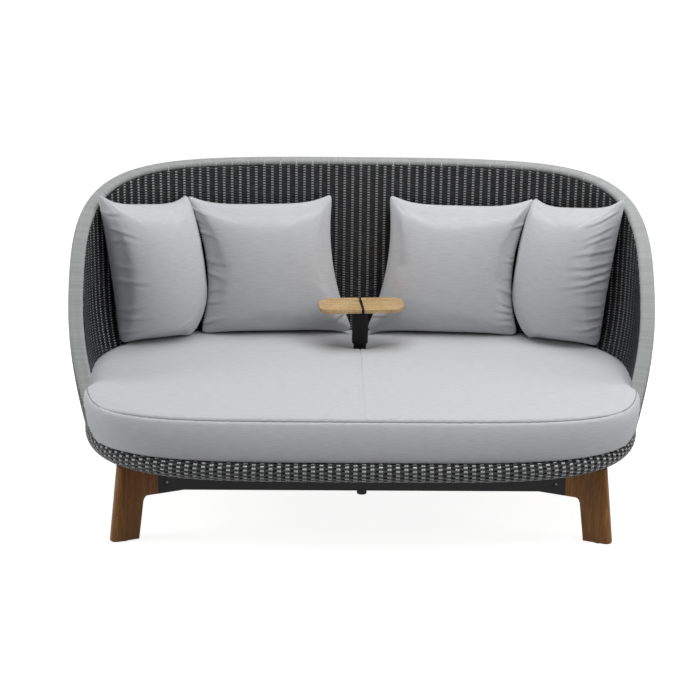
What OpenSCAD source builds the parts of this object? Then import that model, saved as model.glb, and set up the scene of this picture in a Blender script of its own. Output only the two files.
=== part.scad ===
// Outdoor daybed: a woven double-walled shell on a metal and teak base, with a seat
// cushion, four scatter cushions and a small swivelling table on a post.
// X runs to the sitter's left seen from the front, Y to the back, Z up. The origin is on
// the floor under the middle of the daybed. Millimetres.

/* [Overall] */
// Width over the rim
overall_w = 1980; // [1800:10:2200]
// Depth from the front of the woven rail to the back of the rim
overall_d = 1085; // [1000:5:1200]
// Height of the top of the rim at the back
overall_h = 1100; // [1000:5:1250]

/* [Shell] */
// Height of the middle of the seat rail above the floor
rail_z = 302; // [290:1:320]
// Height at which the shell is widest
wide_z = 690; // [600:5:720]
// How far in front of the back of the rim the shell is widest
wide_from_back = 515; // [450:1:560]
// How much narrower each side is at the seat rail than at the widest height
rail_side_inset = 50; // [10:1:60]
// How far the back of the seat rail is set in under the rim
rail_back_inset = 12; // [0:1:30]
// Squareness of the back corners across the width
back_square_x = 3.05; // [2.4:0.05:5]
// Squareness of the back corners along the depth
back_square_y = 2.5; // [2:0.05:4]
// Squareness of the front of the seat rail across the width
rail_square_x = 4.4; // [2.4:0.1:6]
// Squareness of the front of the seat rail along the depth
rail_square_y = 2.6; // [2:0.1:4]
// Squareness of the wings across the width
wing_square_x = 3.5; // [2.4:0.1:5]
// Squareness of the wings along the depth
wing_square_y = 2.3; // [2:0.1:4]
// Distance from the back of the rim to the point where a wing meets the seat rail
wing_reach = 810; // [700:2:840]
// How long the rim stays high before it drops along the wings
wing_curve = 2; // [1.4:0.05:2.4]
// Thickness of a woven skin
skin_t = 4; // [3:0.5:6]

/* [Rim] */
// Width of the wrapped rim band, across both walls of the shell
band_w = 50; // [40:1:60]
// Thickness of the wrapped rim band
band_t = 24; // [20:1:30]
// Thickness of the cord wrapped round the rim tubes
wrap_t = 3; // [2:0.5:4]

/* [Seat rail] */
// Depth of the woven seat rail, across its section
apron_w = 52; // [48:1:60]
// Height of the woven seat rail
apron_h = 62; // [56:1:70]
// Thickness of the weave on the seat rail
apron_t = 5; // [3:0.5:6]
// Diameter of the tube inside the woven seat rail
rail_tube_d = 24; // [20:1:28]
// Thickness of a deck slat
slat_t = 12; // [10:0.5:16]
// Width of a deck slat
slat_w = 60; // [40:2:70]
// Distance from one deck slat to the next
slat_pitch = 76; // [72:1:90]
// Number of rails under the slats
deck_rails = 4; // [3:1:6]
// Distance from the end of a beam's straight stretch to the middle of the outermost deck rail
deck_rail_inset = 60; // [50:1:150]
// Width of a deck rail
deck_rail_w = 40; // [25:1:60]
// Wall of a deck rail
deck_rail_wall = 2.5; // [2:0.5:4]
// Diameter of the tubes that carry the weave up the shell
upright_d = 16; // [12:1:20]
// Number of those tubes
upright_count = 9; // [5:2:13]

/* [Base] */
// Height of the underside of the beams above the floor
beam_z = 153; // [140:1:170]
// Height of the beams
beam_h = 110; // [90:1:112]
// Depth of the beams
beam_w = 40; // [38:1:50]
// Wall of the folded beams
beam_wall = 4; // [3:0.5:5]
// Distance from the side of the rim to the end of a beam's straight stretch
beam_inset = 400; // [370:5:480]
// Distance from the front of the woven rail to the middle of the front beam
beam_from_front = 261; // [230:1:300]
// Distance from the post's middle to the back of the rim
post_from_back = 242; // [230:1:260]
// Angle at which the corner arms turn outwards from the beams
arm_angle = 23.5; // [15:0.5:30]
// Length of the metal stretch of a corner arm
arm_l = 90; // [80:1:110]
// Width of the central spine between the beams
spine_w = 50; // [40:1:70]
// Height of the central spine
spine_h = 40; // [30:1:60]

/* [Legs] */
// Thickness of a teak leg
leg_t = 46; // [40:1:52]
// Width of a leg at the floor
leg_foot_w = 93; // [80:1:110]
// Width of a leg at its top
leg_top_w = 97; // [85:1:120]
// How far the leg's outer edge leans out at the floor
leg_lean = 30; // [10:1:45]
// Distance from the start of an arm to the outer edge of the leg's top
leg_reach = 222; // [210:1:250]
// Radius of the leg's rounded outer edge
leg_round = 20; // [8:1:22]
// Length of the tenon inside the metal arm
tenon_l = 62; // [50:1:75]
// Clearance round the tenon
tenon_gap = 0.3; // [0.2:0.1:0.6]
// Height of the glide under each foot
glide_h = 4; // [3:0.5:8]
// Diameter of a leg bolt
bolt_d = 8; // [6:1:10]

/* [Table] */
// Height of the table top above the floor
table_z = 633; // [600:1:680]
// Width over both leaves
table_w = 300; // [260:2:320]
// Depth of the leaves
table_d = 150; // [120:2:170]
// How far the leaves reach behind the middle of the post
table_behind = 35; // [20:1:45]
// Thickness of a leaf
leaf_t = 14; // [10:1:20]
// Slot between the leaves
leaf_gap = 10; // [6:1:14]
// Radius of the tighter of a leaf's outer corners
leaf_tight_r = 38; // [20:1:60]
// Radius of the softer of a leaf's outer corners
leaf_soft_r = 62; // [30:1:70]
// Turn of the table at rest
table_turn = 4; // [-10:1:10]
// Thickness of the plate under the leaves
plate_t = 5; // [4:0.5:8]
// Diameter of the upper post
post_d = 57; // [46:1:60]
// Diameter of the lower post
post_low_d = 46; // [40:1:50]
// Diameter of the spigot that goes down through the rear beam
spigot_d = 26; // [20:1:30]
// Diameter of the pin that the table turns on
pivot_d = 16; // [12:1:20]
// Radial running clearance round the spigot and the pivot
running_gap = 0.05; // [0.03:0.01:0.1]
// Diameter of the round nuts under the beams
nut_d = 33; // [28:1:40]
// Height of the round nuts under the beams
nut_h = 16; // [10:1:22]

/* [Cushions] */
// Height of the seat cushion's boxing
seat_boxing = 130; // [110:1:150]
// Rise of the seat cushion's crown above its top seam
seat_crown = 16; // [5:1:30]
// How far the seat cushion is set in from the side of the rim, in front of the wings
seat_side_inset = 54; // [40:1:90]
// How far the seat cushion's underside is set back from the front of the woven rail
seat_front_inset = 37; // [30:1:60]
// How far the top seam is set back from the underside at the front
seat_set_back = 20; // [0:1:30]
// How far the boxing bulges between its seams at the front
seat_bulge = 14; // [6:1:20]
// How far the boxing bulges at the sides, in front of the wings
seat_side_bulge = 22; // [6:1:30]
// Gap between the seat cushion and the woven shell
seat_gap = 5; // [4:0.5:12]
// Radius of the hole in the seat cushion round the post
seat_hole_r = 30; // [29:0.5:40]
// Width of the slit behind that hole, through which the cushion goes round the post
seat_slit_w = 8; // [4:1:20]
// Height of a scatter cushion
scatter_h = 498; // [420:2:520]
// Thickness of an inner scatter cushion in front of its seam
inner_t = 98; // [80:1:110]
// Thickness of an inner scatter cushion behind its seam
inner_back_t = 42; // [20:1:50]
// Distance of an inner scatter cushion's foot from the centre line
scatter_center_gap = 38; // [34:1:80]
// Distance of an outer scatter cushion's foot from the side of the rim
scatter_side_gap = 147; // [130:1:180]
// How far the outer and inner scatter cushions lap each other, seen from the front
scatter_lap = 5; // [-20:1:10]
// Share of the width of such a pair that its inner cushion takes
inner_share = 0.642; // [0.6:0.002:0.66]
// How much narrower an inner scatter cushion is at the top
inner_taper = 32; // [0:1:60]
// Distance of an inner scatter cushion's foot from the back of the rim
inner_from_back = 132; // [125:1:150]
// How far the top of an inner scatter cushion slants outwards
inner_slant = 64; // [0:1:70]
// How far the top of an inner scatter cushion leans back
inner_lean = 34; // [0:1:40]
// Turn of an inner scatter cushion towards the centre
inner_turn = 4; // [0:1:8]
// Thickness of an outer scatter cushion in front of its seam
outer_t = 118; // [90:1:130]
// Thickness of an outer scatter cushion behind its seam
outer_back_t = 26; // [20:1:40]
// How much wider an outer scatter cushion is at the top
outer_widening = 54; // [10:1:60]
// Distance of an outer scatter cushion's foot from the back of the rim
outer_from_back = 210; // [196:1:240]
// How far the top of an outer scatter cushion slants outwards
outer_slant = 64; // [0:1:70]
// How far the top of an outer scatter cushion comes forward
outer_forward = 20; // [0:1:50]
// How much higher the outer top corner of an outer scatter cushion is than the inner one
outer_rise = 60; // [0:5:80]
// Turn of an outer scatter cushion's foot towards the centre
outer_turn = 21; // [10:1:30]
// Turn of an outer scatter cushion's top towards the centre
outer_top_turn = 41; // [30:1:50]

/* [Hidden] */

// Gap between pieces that rest on each other, and round a screw or pin in its hole
touch = 0.3;
hole_gap = 0.2;
// Step between the stations round the shell, and rows of a skin
q_step = 0.05;
skin_rows = 6;
back_y = overall_d / 2;
front_y = -overall_d / 2;
wide_y = back_y - wide_from_back;
tip_y = back_y - wing_reach;
post_y = back_y - post_from_back;
rail_top = rail_z + apron_h / 2;
rim_z = overall_h - band_t / 2;
skin_out = band_w / 2 - 2;
slat_z = rail_top - slat_t;
deck_rail_z = rail_z - rail_tube_d / 2;
beam_top = beam_z + beam_h;
beam_l = overall_w - 2 * beam_inset;
rear_beam_y = post_y;
front_beam_y = front_y + beam_from_front;
seat_base = rail_top + touch;
seat_seam = seat_base + seat_boxing;
seat_mid_y = -10;
cord_color = "#b4b4b2";
weave_color = "#3a3b3c";
metal_color = "#2b2b2c";
teak_color = "#8a5a30";
pale_teak_color = "#cfa56c";
fabric_color = "#c4c5c7";

function clamp01(s) = min(1, max(0, s));
// Goes from 0 on top of the seat rail to 1 at the widest height, quickly at first
function flare(z) = 1 - pow(1 - clamp01((z - rail_top) / (wide_z - rail_top)), 2);
function mix(a, b, f) = a + (b - a) * f;
function unit(v) = v / norm(v);

// Middle surface of the shell in plan. q is 0 at the back, 1 at the widest point and 2 at
// the front, negative on the left. Each quarter is a superellipse, walked evenly.
function quarter(t, n, m) =
    let (p = pow(t, n / 2), r = pow(1 - t, m / 2), a = 90 * p / (p + r))
    [pow(sin(a), 2 / n), pow(cos(a), 2 / m)];
function half_width(z) = overall_w / 2 - band_w / 2 - rail_side_inset * (1 - flare(z));
function back_reach(z) = wide_from_back - band_w / 2 - rail_back_inset * (1 - flare(z));
front_reach = wide_y - front_y - apron_w / 2;
function plan(q, z) =
    let (
        back = abs(q) <= 1,
        n = back ? back_square_x : mix(rail_square_x, wing_square_x, flare(z)),
        m = back ? back_square_y : mix(rail_square_y, wing_square_y, flare(z)),
        c = quarter(back ? abs(q) : 2 - abs(q), n, m),
        reach = back ? back_reach(z) : -front_reach
    )
    [sign(q) * half_width(z) * c[0], wide_y + reach * c[1]];
function outward(q, z) =
    let (t = plan(min(q + 0.004, 2), z) - plan(max(q - 0.004, -2), z))
    unit([-t[1], t[0]]);
// A point of the shell, u outwards from its middle surface
function shell_point(q, z, u) =
    let (p = plan(q, z), n = outward(q, z))
    [p[0] + n[0] * u, p[1] + n[1] * u, z];

// Height of the middle of the rim, from the plan of the widest height
tip_h = 10;
tip_drop = rim_z - rail_top - tip_h;
function rim_height(q) =
    let (y = plan(q, wide_z)[1])
    rim_z - tip_drop * pow(max(0, (back_y - band_w / 2 - y) / (wing_reach - band_w / 2)), wing_curve);
function rim_point(q) = let (z = rim_height(q)) shell_point(q, z, 0);
function rim_tangent(q) = unit(rim_point(q + 0.004) - rim_point(q - 0.004));
function solve_q(lo, hi, y, steps) =
    steps == 0 ? (lo + hi) / 2
    : let (mid = (lo + hi) / 2)
        plan(mid, wide_z)[1] > y ? solve_q(mid, hi, y, steps - 1) : solve_q(lo, mid, y, steps - 1);
tip_q = solve_q(1, 1.9, tip_y, 30);

// A point of the rim's section: u outwards, v out of the shell's edge
function rim_section_point(q, u, v) =
    let (
        c = rim_point(q),
        n = outward(q, c[2]),
        n3 = [n[0], n[1], 0],
        w = unit(cross(rim_tangent(q), n3))
    )
    c + n3 * u + w * v;

// Triangles of a strip mesh whose rings all have k points
function ring_faces(rings, k, closed) = [
    for (i = [0 : rings - (closed ? 1 : 2)], j = [0 : k - 1])
        let (
            a = i * k + j,
            b = i * k + (j + 1) % k,
            c = ((i + 1) % rings) * k + j,
            d = ((i + 1) % rings) * k + (j + 1) % k
        )
        each [[a, d, b], [a, c, d]]
];
function flat(rings) = [for (ring = rings) each ring];

// A swept solid: rings of points, in a loop or with flat ends
module swept(rings, closed = false) {
    k = len(rings[0]);
    n = len(rings);
    ends = closed ? [] : [[for (j = [0 : k - 1]) j], [for (j = [1 : k]) n * k - j]];
    polyhedron(flat(rings), concat(ring_faces(n, k, closed), ends), convexity = 8);
}

// A solid between two grids of points with the same rows and columns
module slab(front, back) {
    rows = len(front);
    cols = len(front[0]);
    size = rows * cols;
    grid = [
        for (i = [0 : rows - 2], j = [0 : cols - 2])
            let (a = i * cols + j, b = a + 1, c = a + cols, d = c + 1)
            each [[a, b, d], [a, d, c], [size + a, size + d, size + b], [size + a, size + c, size + d]]
    ];
    rim = concat(
        [for (j = [0 : cols - 2]) j],
        [for (i = [0 : rows - 2]) i * cols + cols - 1],
        [for (j = [0 : cols - 2]) size - 1 - j],
        [for (i = [0 : rows - 2]) (rows - 1 - i) * cols]
    );
    edge = [
        for (i = [0 : len(rim) - 1])
            let (a = rim[i], b = rim[(i + 1) % len(rim)])
            each [[a, a + size, b + size], [a, b + size, b]]
    ];
    polyhedron(concat(flat(front), flat(back)), concat(grid, edge), convexity = 8);
}

// Rim: two tubes side by side, wrapped with cord
wrap_step = 33;
rim_tube_r = (band_t / 2 - wrap_t) * cos(wrap_step / 2) - touch;
rim_tube_u = band_w / 2 - band_t / 2;
// Stations from -end to end, at the same steps as those of the seat rail
function stations(end) =
    let (half = [for (i = [0 : floor((end - 0.01) / q_step)]) i * q_step])
    concat([-end], [for (i = [1 : len(half) - 1]) -half[len(half) - i]], half, [end]);
rim_q = stations(tip_q);
module rim_tubes() {
    color(metal_color)
        for (side = [-1, 1])
            swept([
                for (q = rim_q) [
                    for (a = [0 : 45 : 315])
                        rim_section_point(q, side * rim_tube_u + rim_tube_r * cos(a), rim_tube_r * sin(a))
                ]
            ]);
}

// The wrap's section: a stadium with its underside open between the tubes
function wrap_arc(r) = concat(
    [for (a = [90 - 5 * wrap_step : wrap_step : 90]) [rim_tube_u + r * cos(a), r * sin(a)]],
    [for (a = [90 : wrap_step : 90 + 5 * wrap_step]) [-rim_tube_u + r * cos(a), r * sin(a)]]
);
function reversed(list) = [for (i = [1 : len(list)]) list[len(list) - i]];
module rim_wrap() {
    section = concat(wrap_arc(band_t / 2), reversed(wrap_arc(band_t / 2 - wrap_t)));
    color(cord_color)
        swept([for (q = rim_q) [for (p = section) rim_section_point(q, p[0], p[1])]]);
}

// Woven skins, from the seat rail up to the underside of the rim
skin_seat = 2.5;
skin_top_gap = sqrt(pow(band_t / 2, 2) - pow(skin_out - rim_tube_u - skin_t, 2)) + skin_seat;
skin_base = rail_z + apron_h / 2 * sqrt(1 - pow((skin_out - skin_t) / (apron_w / 2), 2)) + touch;
function skin_top(q) = rim_height(q) - skin_top_gap / max(0.3, norm([rim_tangent(q)[0], rim_tangent(q)[1]]));
skin_min = 12;
function solve_skin(lo, hi, steps) =
    steps == 0 ? lo
    : let (mid = (lo + hi) / 2)
        skin_top(mid) > skin_base + skin_min ? solve_skin(mid, hi, steps - 1)
        : solve_skin(lo, mid, steps - 1);
skin_q_end = solve_skin(1, tip_q, 24);
function skin_grid(u) = [
    for (i = [0 : skin_rows]) [
        for (q = stations(skin_q_end)) shell_point(q, mix(skin_base, skin_top(q), i / skin_rows), u)
    ]
];
module outer_weave() {
    color(weave_color) slab(skin_grid(skin_out), skin_grid(skin_out - skin_t));
}
module inner_weave() {
    color(weave_color) slab(skin_grid(skin_t - skin_out), skin_grid(-skin_out));
}

// Tubes between the skins, from the seat rail to the rim
upright_q_end = 0.98;
function upright_q(i) = -upright_q_end + 2 * upright_q_end * i / (upright_count - 1);
module upright(q, r) {
    t = rim_tangent(q);
    slope = abs(t[2]) / norm([t[0], t[1]]);
    low = rail_z + rail_tube_d / 2 + touch;
    high = rim_height(q) - (rim_tube_r + touch) * norm([1, slope]) - slope * upright_d / 2;
    swept([
        for (k = [0 : 5])
            let (z = mix(low, high, k / 5), c = shell_point(q, z, 0))
            [for (a = [0 : 45 : 315]) c + [cos(a), sin(a), 0] * r]
    ]);
}
module shell_uprights() {
    color(metal_color)
        for (i = [0 : upright_count - 1]) upright(upright_q(i), upright_d / 2);
}

// Seat rail: a tube all round, and the weave rolled over it
rail_q = [for (i = [1 : 4 / q_step]) -2 + i * q_step];
function rail_ring(q, section) = [
    for (p = section) shell_point(q, rail_z, p[0]) + [0, 0, p[1]]
];
module seat_rail_tube() {
    section = [for (a = [0 : 45 : 315]) [cos(a), sin(a)] * rail_tube_d / 2];
    color(metal_color) swept([for (q = rail_q) rail_ring(q, section)], closed = true);
}
rail_open = 120;
function rolled(w, h) = [for (a = [-rail_open : 30 : rail_open]) [w / 2 * cos(a), h / 2 * sin(a)]];
module woven_rail() {
    inside = rolled(apron_w - 2 * apron_t, apron_h - 2 * apron_t);
    section = concat(rolled(apron_w, apron_h), reversed(inside));
    color(weave_color)
        difference() {
            swept([for (q = rail_q) rail_ring(q, section)], closed = true);
            for (i = [0 : upright_count - 1]) upright(upright_q(i), upright_d / 2 + touch);
        }
}

// Teak slats of the deck, inside the woven rail, with one under the post
slat_edge = skin_out + 1;
module deck_slats() {
    color(teak_color)
        translate([0, 0, slat_z])
            linear_extrude(slat_t)
                difference() {
                    intersection() {
                        polygon([for (q = rail_q) let (p = shell_point(q, rail_z, -slat_edge)) [p[0], p[1]]]);
                        for (i = [-12 : 4])
                            translate([-overall_w / 2, post_y + i * slat_pitch - slat_w / 2])
                                square([overall_w, slat_w]);
                    }
                    translate([0, post_y]) circle(r = spigot_d / 2 + 1, $fn = 64);
                }
}

// Rails under the slats, from the front of the rail tube to its back
deck_rail_h = slat_z - deck_rail_z;
deck_rail_span = beam_l - 2 * deck_rail_inset;
function deck_rail_x(i) = -deck_rail_span / 2 + deck_rail_span * i / (deck_rails - 1);
// The tube's inner face, as pairs of x and y from the middle outwards
function tube_face(side) = [
    for (i = [0 : 1 / q_step - 1])
        let (p = shell_point(side > 0 ? i * q_step : 2 - i * q_step, rail_z, -rail_tube_d / 2 - touch))
        [p[0], p[1]]
];
module deck_rails() {
    wall = deck_rail_wall;
    color(metal_color)
        for (i = [0 : deck_rails - 1]) {
            x = deck_rail_x(i);
            y0 = lookup(abs(x) + deck_rail_w / 2, tube_face(-1));
            y1 = lookup(abs(x) + deck_rail_w / 2, tube_face(1));
            difference() {
                translate([x - deck_rail_w / 2, y0, deck_rail_z])
                    cube([deck_rail_w, y1 - y0, deck_rail_h]);
                translate([x - deck_rail_w / 2 + wall, y0 - 1, deck_rail_z + wall])
                    cube([deck_rail_w - 2 * wall, y1 - y0 + 2, deck_rail_h - 2 * wall]);
                for (y = [front_beam_y, rear_beam_y])
                    translate([x, y, deck_rail_z - 1])
                        cylinder(r = riser_screw_r + hole_gap, h = wall + 2, $fn = 32);
            }
        }
}

// Blocks between the beams and the deck rails, each held by a screw up into the rail
riser_screw_r = 4;
riser_head_h = 5;
riser_screw_end = 8;
module beam_risers() {
    color(metal_color)
        for (y = [front_beam_y, rear_beam_y], i = [0 : deck_rails - 1])
            translate([deck_rail_x(i), y, beam_top])
                difference() {
                    translate([-deck_rail_w / 2, -beam_w / 2, 0])
                        cube([deck_rail_w, beam_w, deck_rail_z - beam_top]);
                    translate([0, 0, -1])
                        cylinder(r = riser_screw_r + hole_gap, h = deck_rail_z - beam_top + 2, $fn = 32);
                }
}
module riser_screws() {
    screw_l = deck_rail_z - beam_top + beam_wall + riser_head_h + riser_screw_end;
    color(metal_color)
        for (y = [front_beam_y, rear_beam_y], i = [0 : deck_rails - 1])
            translate([deck_rail_x(i), y, beam_top - beam_wall - riser_head_h]) {
                cylinder(r = riser_screw_r, h = screw_l, $fn = 32);
                cylinder(r = riser_screw_r * 1.6, h = riser_head_h, $fn = 32);
            }
}

// Beams: folded steel, open below, with a boxed arm at each end that holds a leg's tenon
cheek_t = 8;
shoulder_h = 18;
tenon_t = leg_t - 2 * cheek_t;
tenon_h = beam_h - 2 * shoulder_h;
module arm_place(side, front) {
    mirror([0, front ? 0 : 1, 0])
        mirror([side < 0 ? 1 : 0, 0, 0])
            translate([beam_l / 2, (front ? front_beam_y : -rear_beam_y) - beam_w / 2, beam_z])
                rotate([0, 0, -arm_angle])
                    children();
}
bolt_u = 32;
bolt_pitch = 40;
bolt_h = [beam_h / 2 - bolt_pitch / 2, beam_h / 2 + bolt_pitch / 2];
module bolt_holes(r) {
    for (h = bolt_h)
        translate([arm_l - bolt_u, -1, h]) rotate([-90, 0, 0]) cylinder(r = r, h = leg_t + 2, $fn = 32);
}
module tenon_socket() {
    t = tenon_t + 2 * tenon_gap;
    h = tenon_h + 2 * tenon_gap;
    translate([arm_l - tenon_l - tenon_gap, (leg_t - t) / 2, (beam_h - h) / 2]) cube([tenon_l + 1, t, h]);
}
// Half of a beam's plan, from the middle of its front face to the middle of its back
bend = [beam_l / 2, -beam_w / 2];
arm_front = bend + arm_l * [cos(arm_angle), -sin(arm_angle)];
arm_back = arm_front + leg_t * [sin(arm_angle), cos(arm_angle)];
arm_mitre = [arm_back[0] - (beam_w / 2 - arm_back[1]) / tan(arm_angle), beam_w / 2];
beam_half = [bend, arm_front, arm_back, arm_mitre];
beam_plan = concat(beam_half, reversed([for (p = beam_half) [-p[0], p[1]]]));
block_l = 60;
beam_plug_l = 25;
// A beam is open below between the solid block in its middle and a plug at each end
module beam(y, front, hole_r) {
    void_l = beam_l / 2 - beam_plug_l - block_l / 2;
    difference() {
        translate([0, y, beam_z])
            mirror([0, front ? 0 : 1, 0]) linear_extrude(beam_h) polygon(beam_plan);
        for (x = [block_l / 2, beam_plug_l - beam_l / 2])
            translate([x, y - beam_w / 2 + beam_wall, beam_z - 1])
                cube([void_l, beam_w - 2 * beam_wall, beam_h - beam_wall + 1]);
        for (side = [-1, 1])
            arm_place(side, front) {
                tenon_socket();
                bolt_holes(bolt_d / 2 + hole_gap);
            }
        for (i = [0 : deck_rails - 1])
            translate([deck_rail_x(i), y, beam_top - beam_wall - 1])
                cylinder(r = riser_screw_r + hole_gap, h = beam_wall + 2, $fn = 32);
        translate([0, y, beam_z - 1]) cylinder(r = hole_r, h = beam_h + 2, $fn = 64);
    }
}
spine_z = beam_top - beam_wall - spine_h;
spine_bolt_r = 6;
module front_beam() { color(metal_color) beam(front_beam_y, true, spine_bolt_r + hole_gap); }
module rear_beam() { color(metal_color) beam(rear_beam_y, false, spigot_d / 2 + running_gap); }

// Spine: a square tube between the beams
spine_wall = 3;
module center_spine() {
    y0 = front_beam_y + beam_w / 2;
    y1 = rear_beam_y - beam_w / 2;
    color(metal_color)
        difference() {
            translate([-spine_w / 2, y0, spine_z]) cube([spine_w, y1 - y0, spine_h]);
            translate([-spine_w / 2 + spine_wall, y0 - 1, spine_z + spine_wall])
                cube([spine_w - 2 * spine_wall, y1 - y0 + 2, spine_h - 2 * spine_wall]);
        }
}

// Bolt through the front beam, with a round head below it
module spine_bolt() {
    color(metal_color)
        translate([0, front_beam_y, beam_z]) {
            translate([0, 0, -nut_h]) cylinder(r = nut_d / 2, h = nut_h, $fn = 64);
            translate([0, 0, -1]) cylinder(r = spine_bolt_r, h = beam_h + 1, $fn = 32);
        }
}

// Leg: a flat teak blade that leans out to the floor, with an arm and a tenon
leg_knee = 14;
module blade_slab(u0, u1, z) {
    translate([0, 0, z])
        linear_extrude(1) {
            translate([u0, 0]) square([u1 - u0 - leg_round, leg_t]);
            translate([u1 - 2 * leg_round, leg_round]) square([2 * leg_round, leg_t - 2 * leg_round]);
            for (y = [leg_round, leg_t - leg_round])
                translate([u1 - leg_round, y]) circle(r = leg_round, $fn = 32);
        }
}
module leg() {
    foot_out = leg_reach + leg_lean;
    floor_z = glide_h - beam_z;
    knee_u = mix(leg_reach - leg_top_w, foot_out - leg_foot_w, beam_h / (beam_h - floor_z));
    difference() {
        union() {
            hull() {
                blade_slab(foot_out - leg_foot_w, foot_out, floor_z);
                blade_slab(leg_reach - leg_top_w, leg_reach, beam_h - 1);
            }
            translate([arm_l, 0, 0]) cube([knee_u - arm_l + leg_knee, leg_t, beam_h]);
            difference() {
                translate([knee_u - leg_knee, 0, -leg_knee]) cube([leg_knee * 2, leg_t, leg_knee * 2]);
                translate([knee_u - leg_knee, -1, -leg_knee])
                    rotate([-90, 0, 0]) cylinder(r = leg_knee, h = leg_t + 2, $fn = 48);
            }
            translate([arm_l - tenon_l, (leg_t - tenon_t) / 2, (beam_h - tenon_h) / 2])
                cube([tenon_l + 1, tenon_t, tenon_h]);
        }
        bolt_holes(bolt_d / 2 + hole_gap);
        translate([foot_out - leg_foot_w / 2, leg_t / 2, floor_z - 1])
            cylinder(r = glide_pin_r + hole_gap, h = glide_pin_l + 1 + hole_gap, $fn = 32);
    }
}
module leg_front_left() { color(teak_color) arm_place(-1, true) leg(); }
module leg_front_right() { color(teak_color) arm_place(1, true) leg(); }
module leg_rear_left() { color(teak_color) arm_place(-1, false) leg(); }
module leg_rear_right() { color(teak_color) arm_place(1, false) leg(); }

// Two bolts through each arm and tenon
bolt_head_h = 4;
bolt_end = 2;
module leg_bolts() {
    color(metal_color)
        for (side = [-1, 1], front = [true, false], h = bolt_h)
            arm_place(side, front)
                translate([arm_l - bolt_u, bolt_end, h])
                    rotate([-90, 0, 0]) {
                        cylinder(r = bolt_d / 2, h = leg_t - bolt_end, $fn = 32);
                        translate([0, 0, leg_t - bolt_end])
                            cylinder(r = bolt_d * 0.8, h = bolt_head_h, $fn = 32);
                    }
}

// Plastic glides pinned into the feet
glide_r = 17;
glide_pin_r = 3;
glide_pin_l = 18;
module foot_glides() {
    color("#1d1d1d")
        for (side = [-1, 1], front = [true, false])
            arm_place(side, front)
                translate([leg_reach + leg_lean - leg_foot_w / 2, leg_t / 2, -beam_z]) {
                    cylinder(r = glide_r, h = glide_h, $fn = 48);
                    cylinder(r = glide_pin_r, h = glide_h + glide_pin_l, $fn = 32);
                }
}

// Table post, turned: spigot, flange on a slat, lower and upper column, pivot pin
washer_t = 1;
post_top = table_z - leaf_t - plate_t - touch - washer_t;
step_drop = 3;
step_l = 4;
post_step = seat_seam + seat_crown - step_drop;
flange_t = 4;
flange_lip = 4;
spigot_below = 10;
module table_post() {
    color(metal_color)
        translate([0, post_y, 0])
            rotate_extrude($fn = 96)
                polygon([
                    [0, beam_z - spigot_below], [spigot_d / 2, beam_z - spigot_below],
                    [spigot_d / 2, rail_top], [post_low_d / 2 + flange_lip, rail_top],
                    [post_low_d / 2 + flange_lip, rail_top + flange_t],
                    [post_low_d / 2, rail_top + flange_t],
                    [post_low_d / 2, post_step - step_l], [post_d / 2, post_step],
                    [post_d / 2, post_top], [pivot_d / 2, post_top],
                    [pivot_d / 2, table_z - leaf_t - touch], [0, table_z - leaf_t - touch]
                ]);
}
module post_nut() {
    color(metal_color)
        translate([0, post_y, beam_z - nut_h])
            difference() {
                cylinder(r = nut_d / 2, h = nut_h, $fn = 64);
                translate([0, 0, nut_h - spigot_below])
                cylinder(r = spigot_d / 2 + running_gap, h = spigot_below + 1, $fn = 64);
            }
}

// Swivel plate under the leaves, with a short cross bar between them
cross_l = 46;
cross_w = 3;
cross_drop = 0.5;
strip_w = leaf_gap - 2 * touch;
strip_inset = 8;
strip_drop = 5;
plate_l = 220;
plate_w = 54;
module pivot_washer() {
    color("#1d1d1d")
        translate([0, post_y, post_top])
            difference() {
                cylinder(r = post_d / 2 - 2, h = washer_t, $fn = 64);
                translate([0, 0, -1]) cylinder(r = pivot_d / 2 + running_gap, h = washer_t + 2, $fn = 64);
            }
}
module table_place() { translate([0, post_y, 0]) rotate([0, 0, table_turn]) children(); }
module table_plate() {
    plate_z = table_z - leaf_t - plate_t;
    color(metal_color)
        table_place()
            difference() {
                union() {
                    translate([-plate_l / 2, -plate_w / 2, plate_z]) cube([plate_l, plate_w, plate_t]);
                    translate([-strip_w / 2, table_behind - table_d + strip_inset, plate_z])
                        cube([strip_w, table_d - 2 * strip_inset, plate_t + leaf_t - strip_drop]);
                    translate([-cross_l / 2, -cross_w / 2, plate_z])
                        cube([cross_l, cross_w, plate_t + leaf_t - cross_drop]);
                }
                translate([0, 0, plate_z - 1])
                    cylinder(r = pivot_d / 2 + running_gap, h = plate_t + 1, $fn = 64);
                for (x = screw_x, y = screw_y)
                    for (side = [-1, 1])
                        translate([side * x, y, plate_z - 1])
                            cylinder(r = screw_r + hole_gap, h = plate_t + 2, $fn = 32);
            }
}

// Teak leaves: square at the slot, round at the outer corners
screw_r = 2;
screw_x = [80];
screw_y = [-18, 18];
screw_depth = 9;
screw_head_h = 2.5;
slot_corner_r = 4;
function leaf_outline(r0, r1) =
    let (
        x0 = leaf_gap / 2, x1 = table_w / 2, y0 = table_behind - table_d, y1 = table_behind,
        s = slot_corner_r
    )
    concat(
        [for (a = [270 : 6 : 360]) [x1 - r0 + r0 * cos(a), y0 + r0 + r0 * sin(a)]],
        [for (a = [0 : 6 : 90]) [x1 - r1 + r1 * cos(a), y1 - r1 + r1 * sin(a)]],
        [for (a = [90 : 30 : 180]) [x0 + s + s * cos(a), y1 - s + s * sin(a)]],
        [for (a = [180 : 30 : 270]) [x0 + s + s * cos(a), y0 + s + s * sin(a)]]
    );
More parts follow.
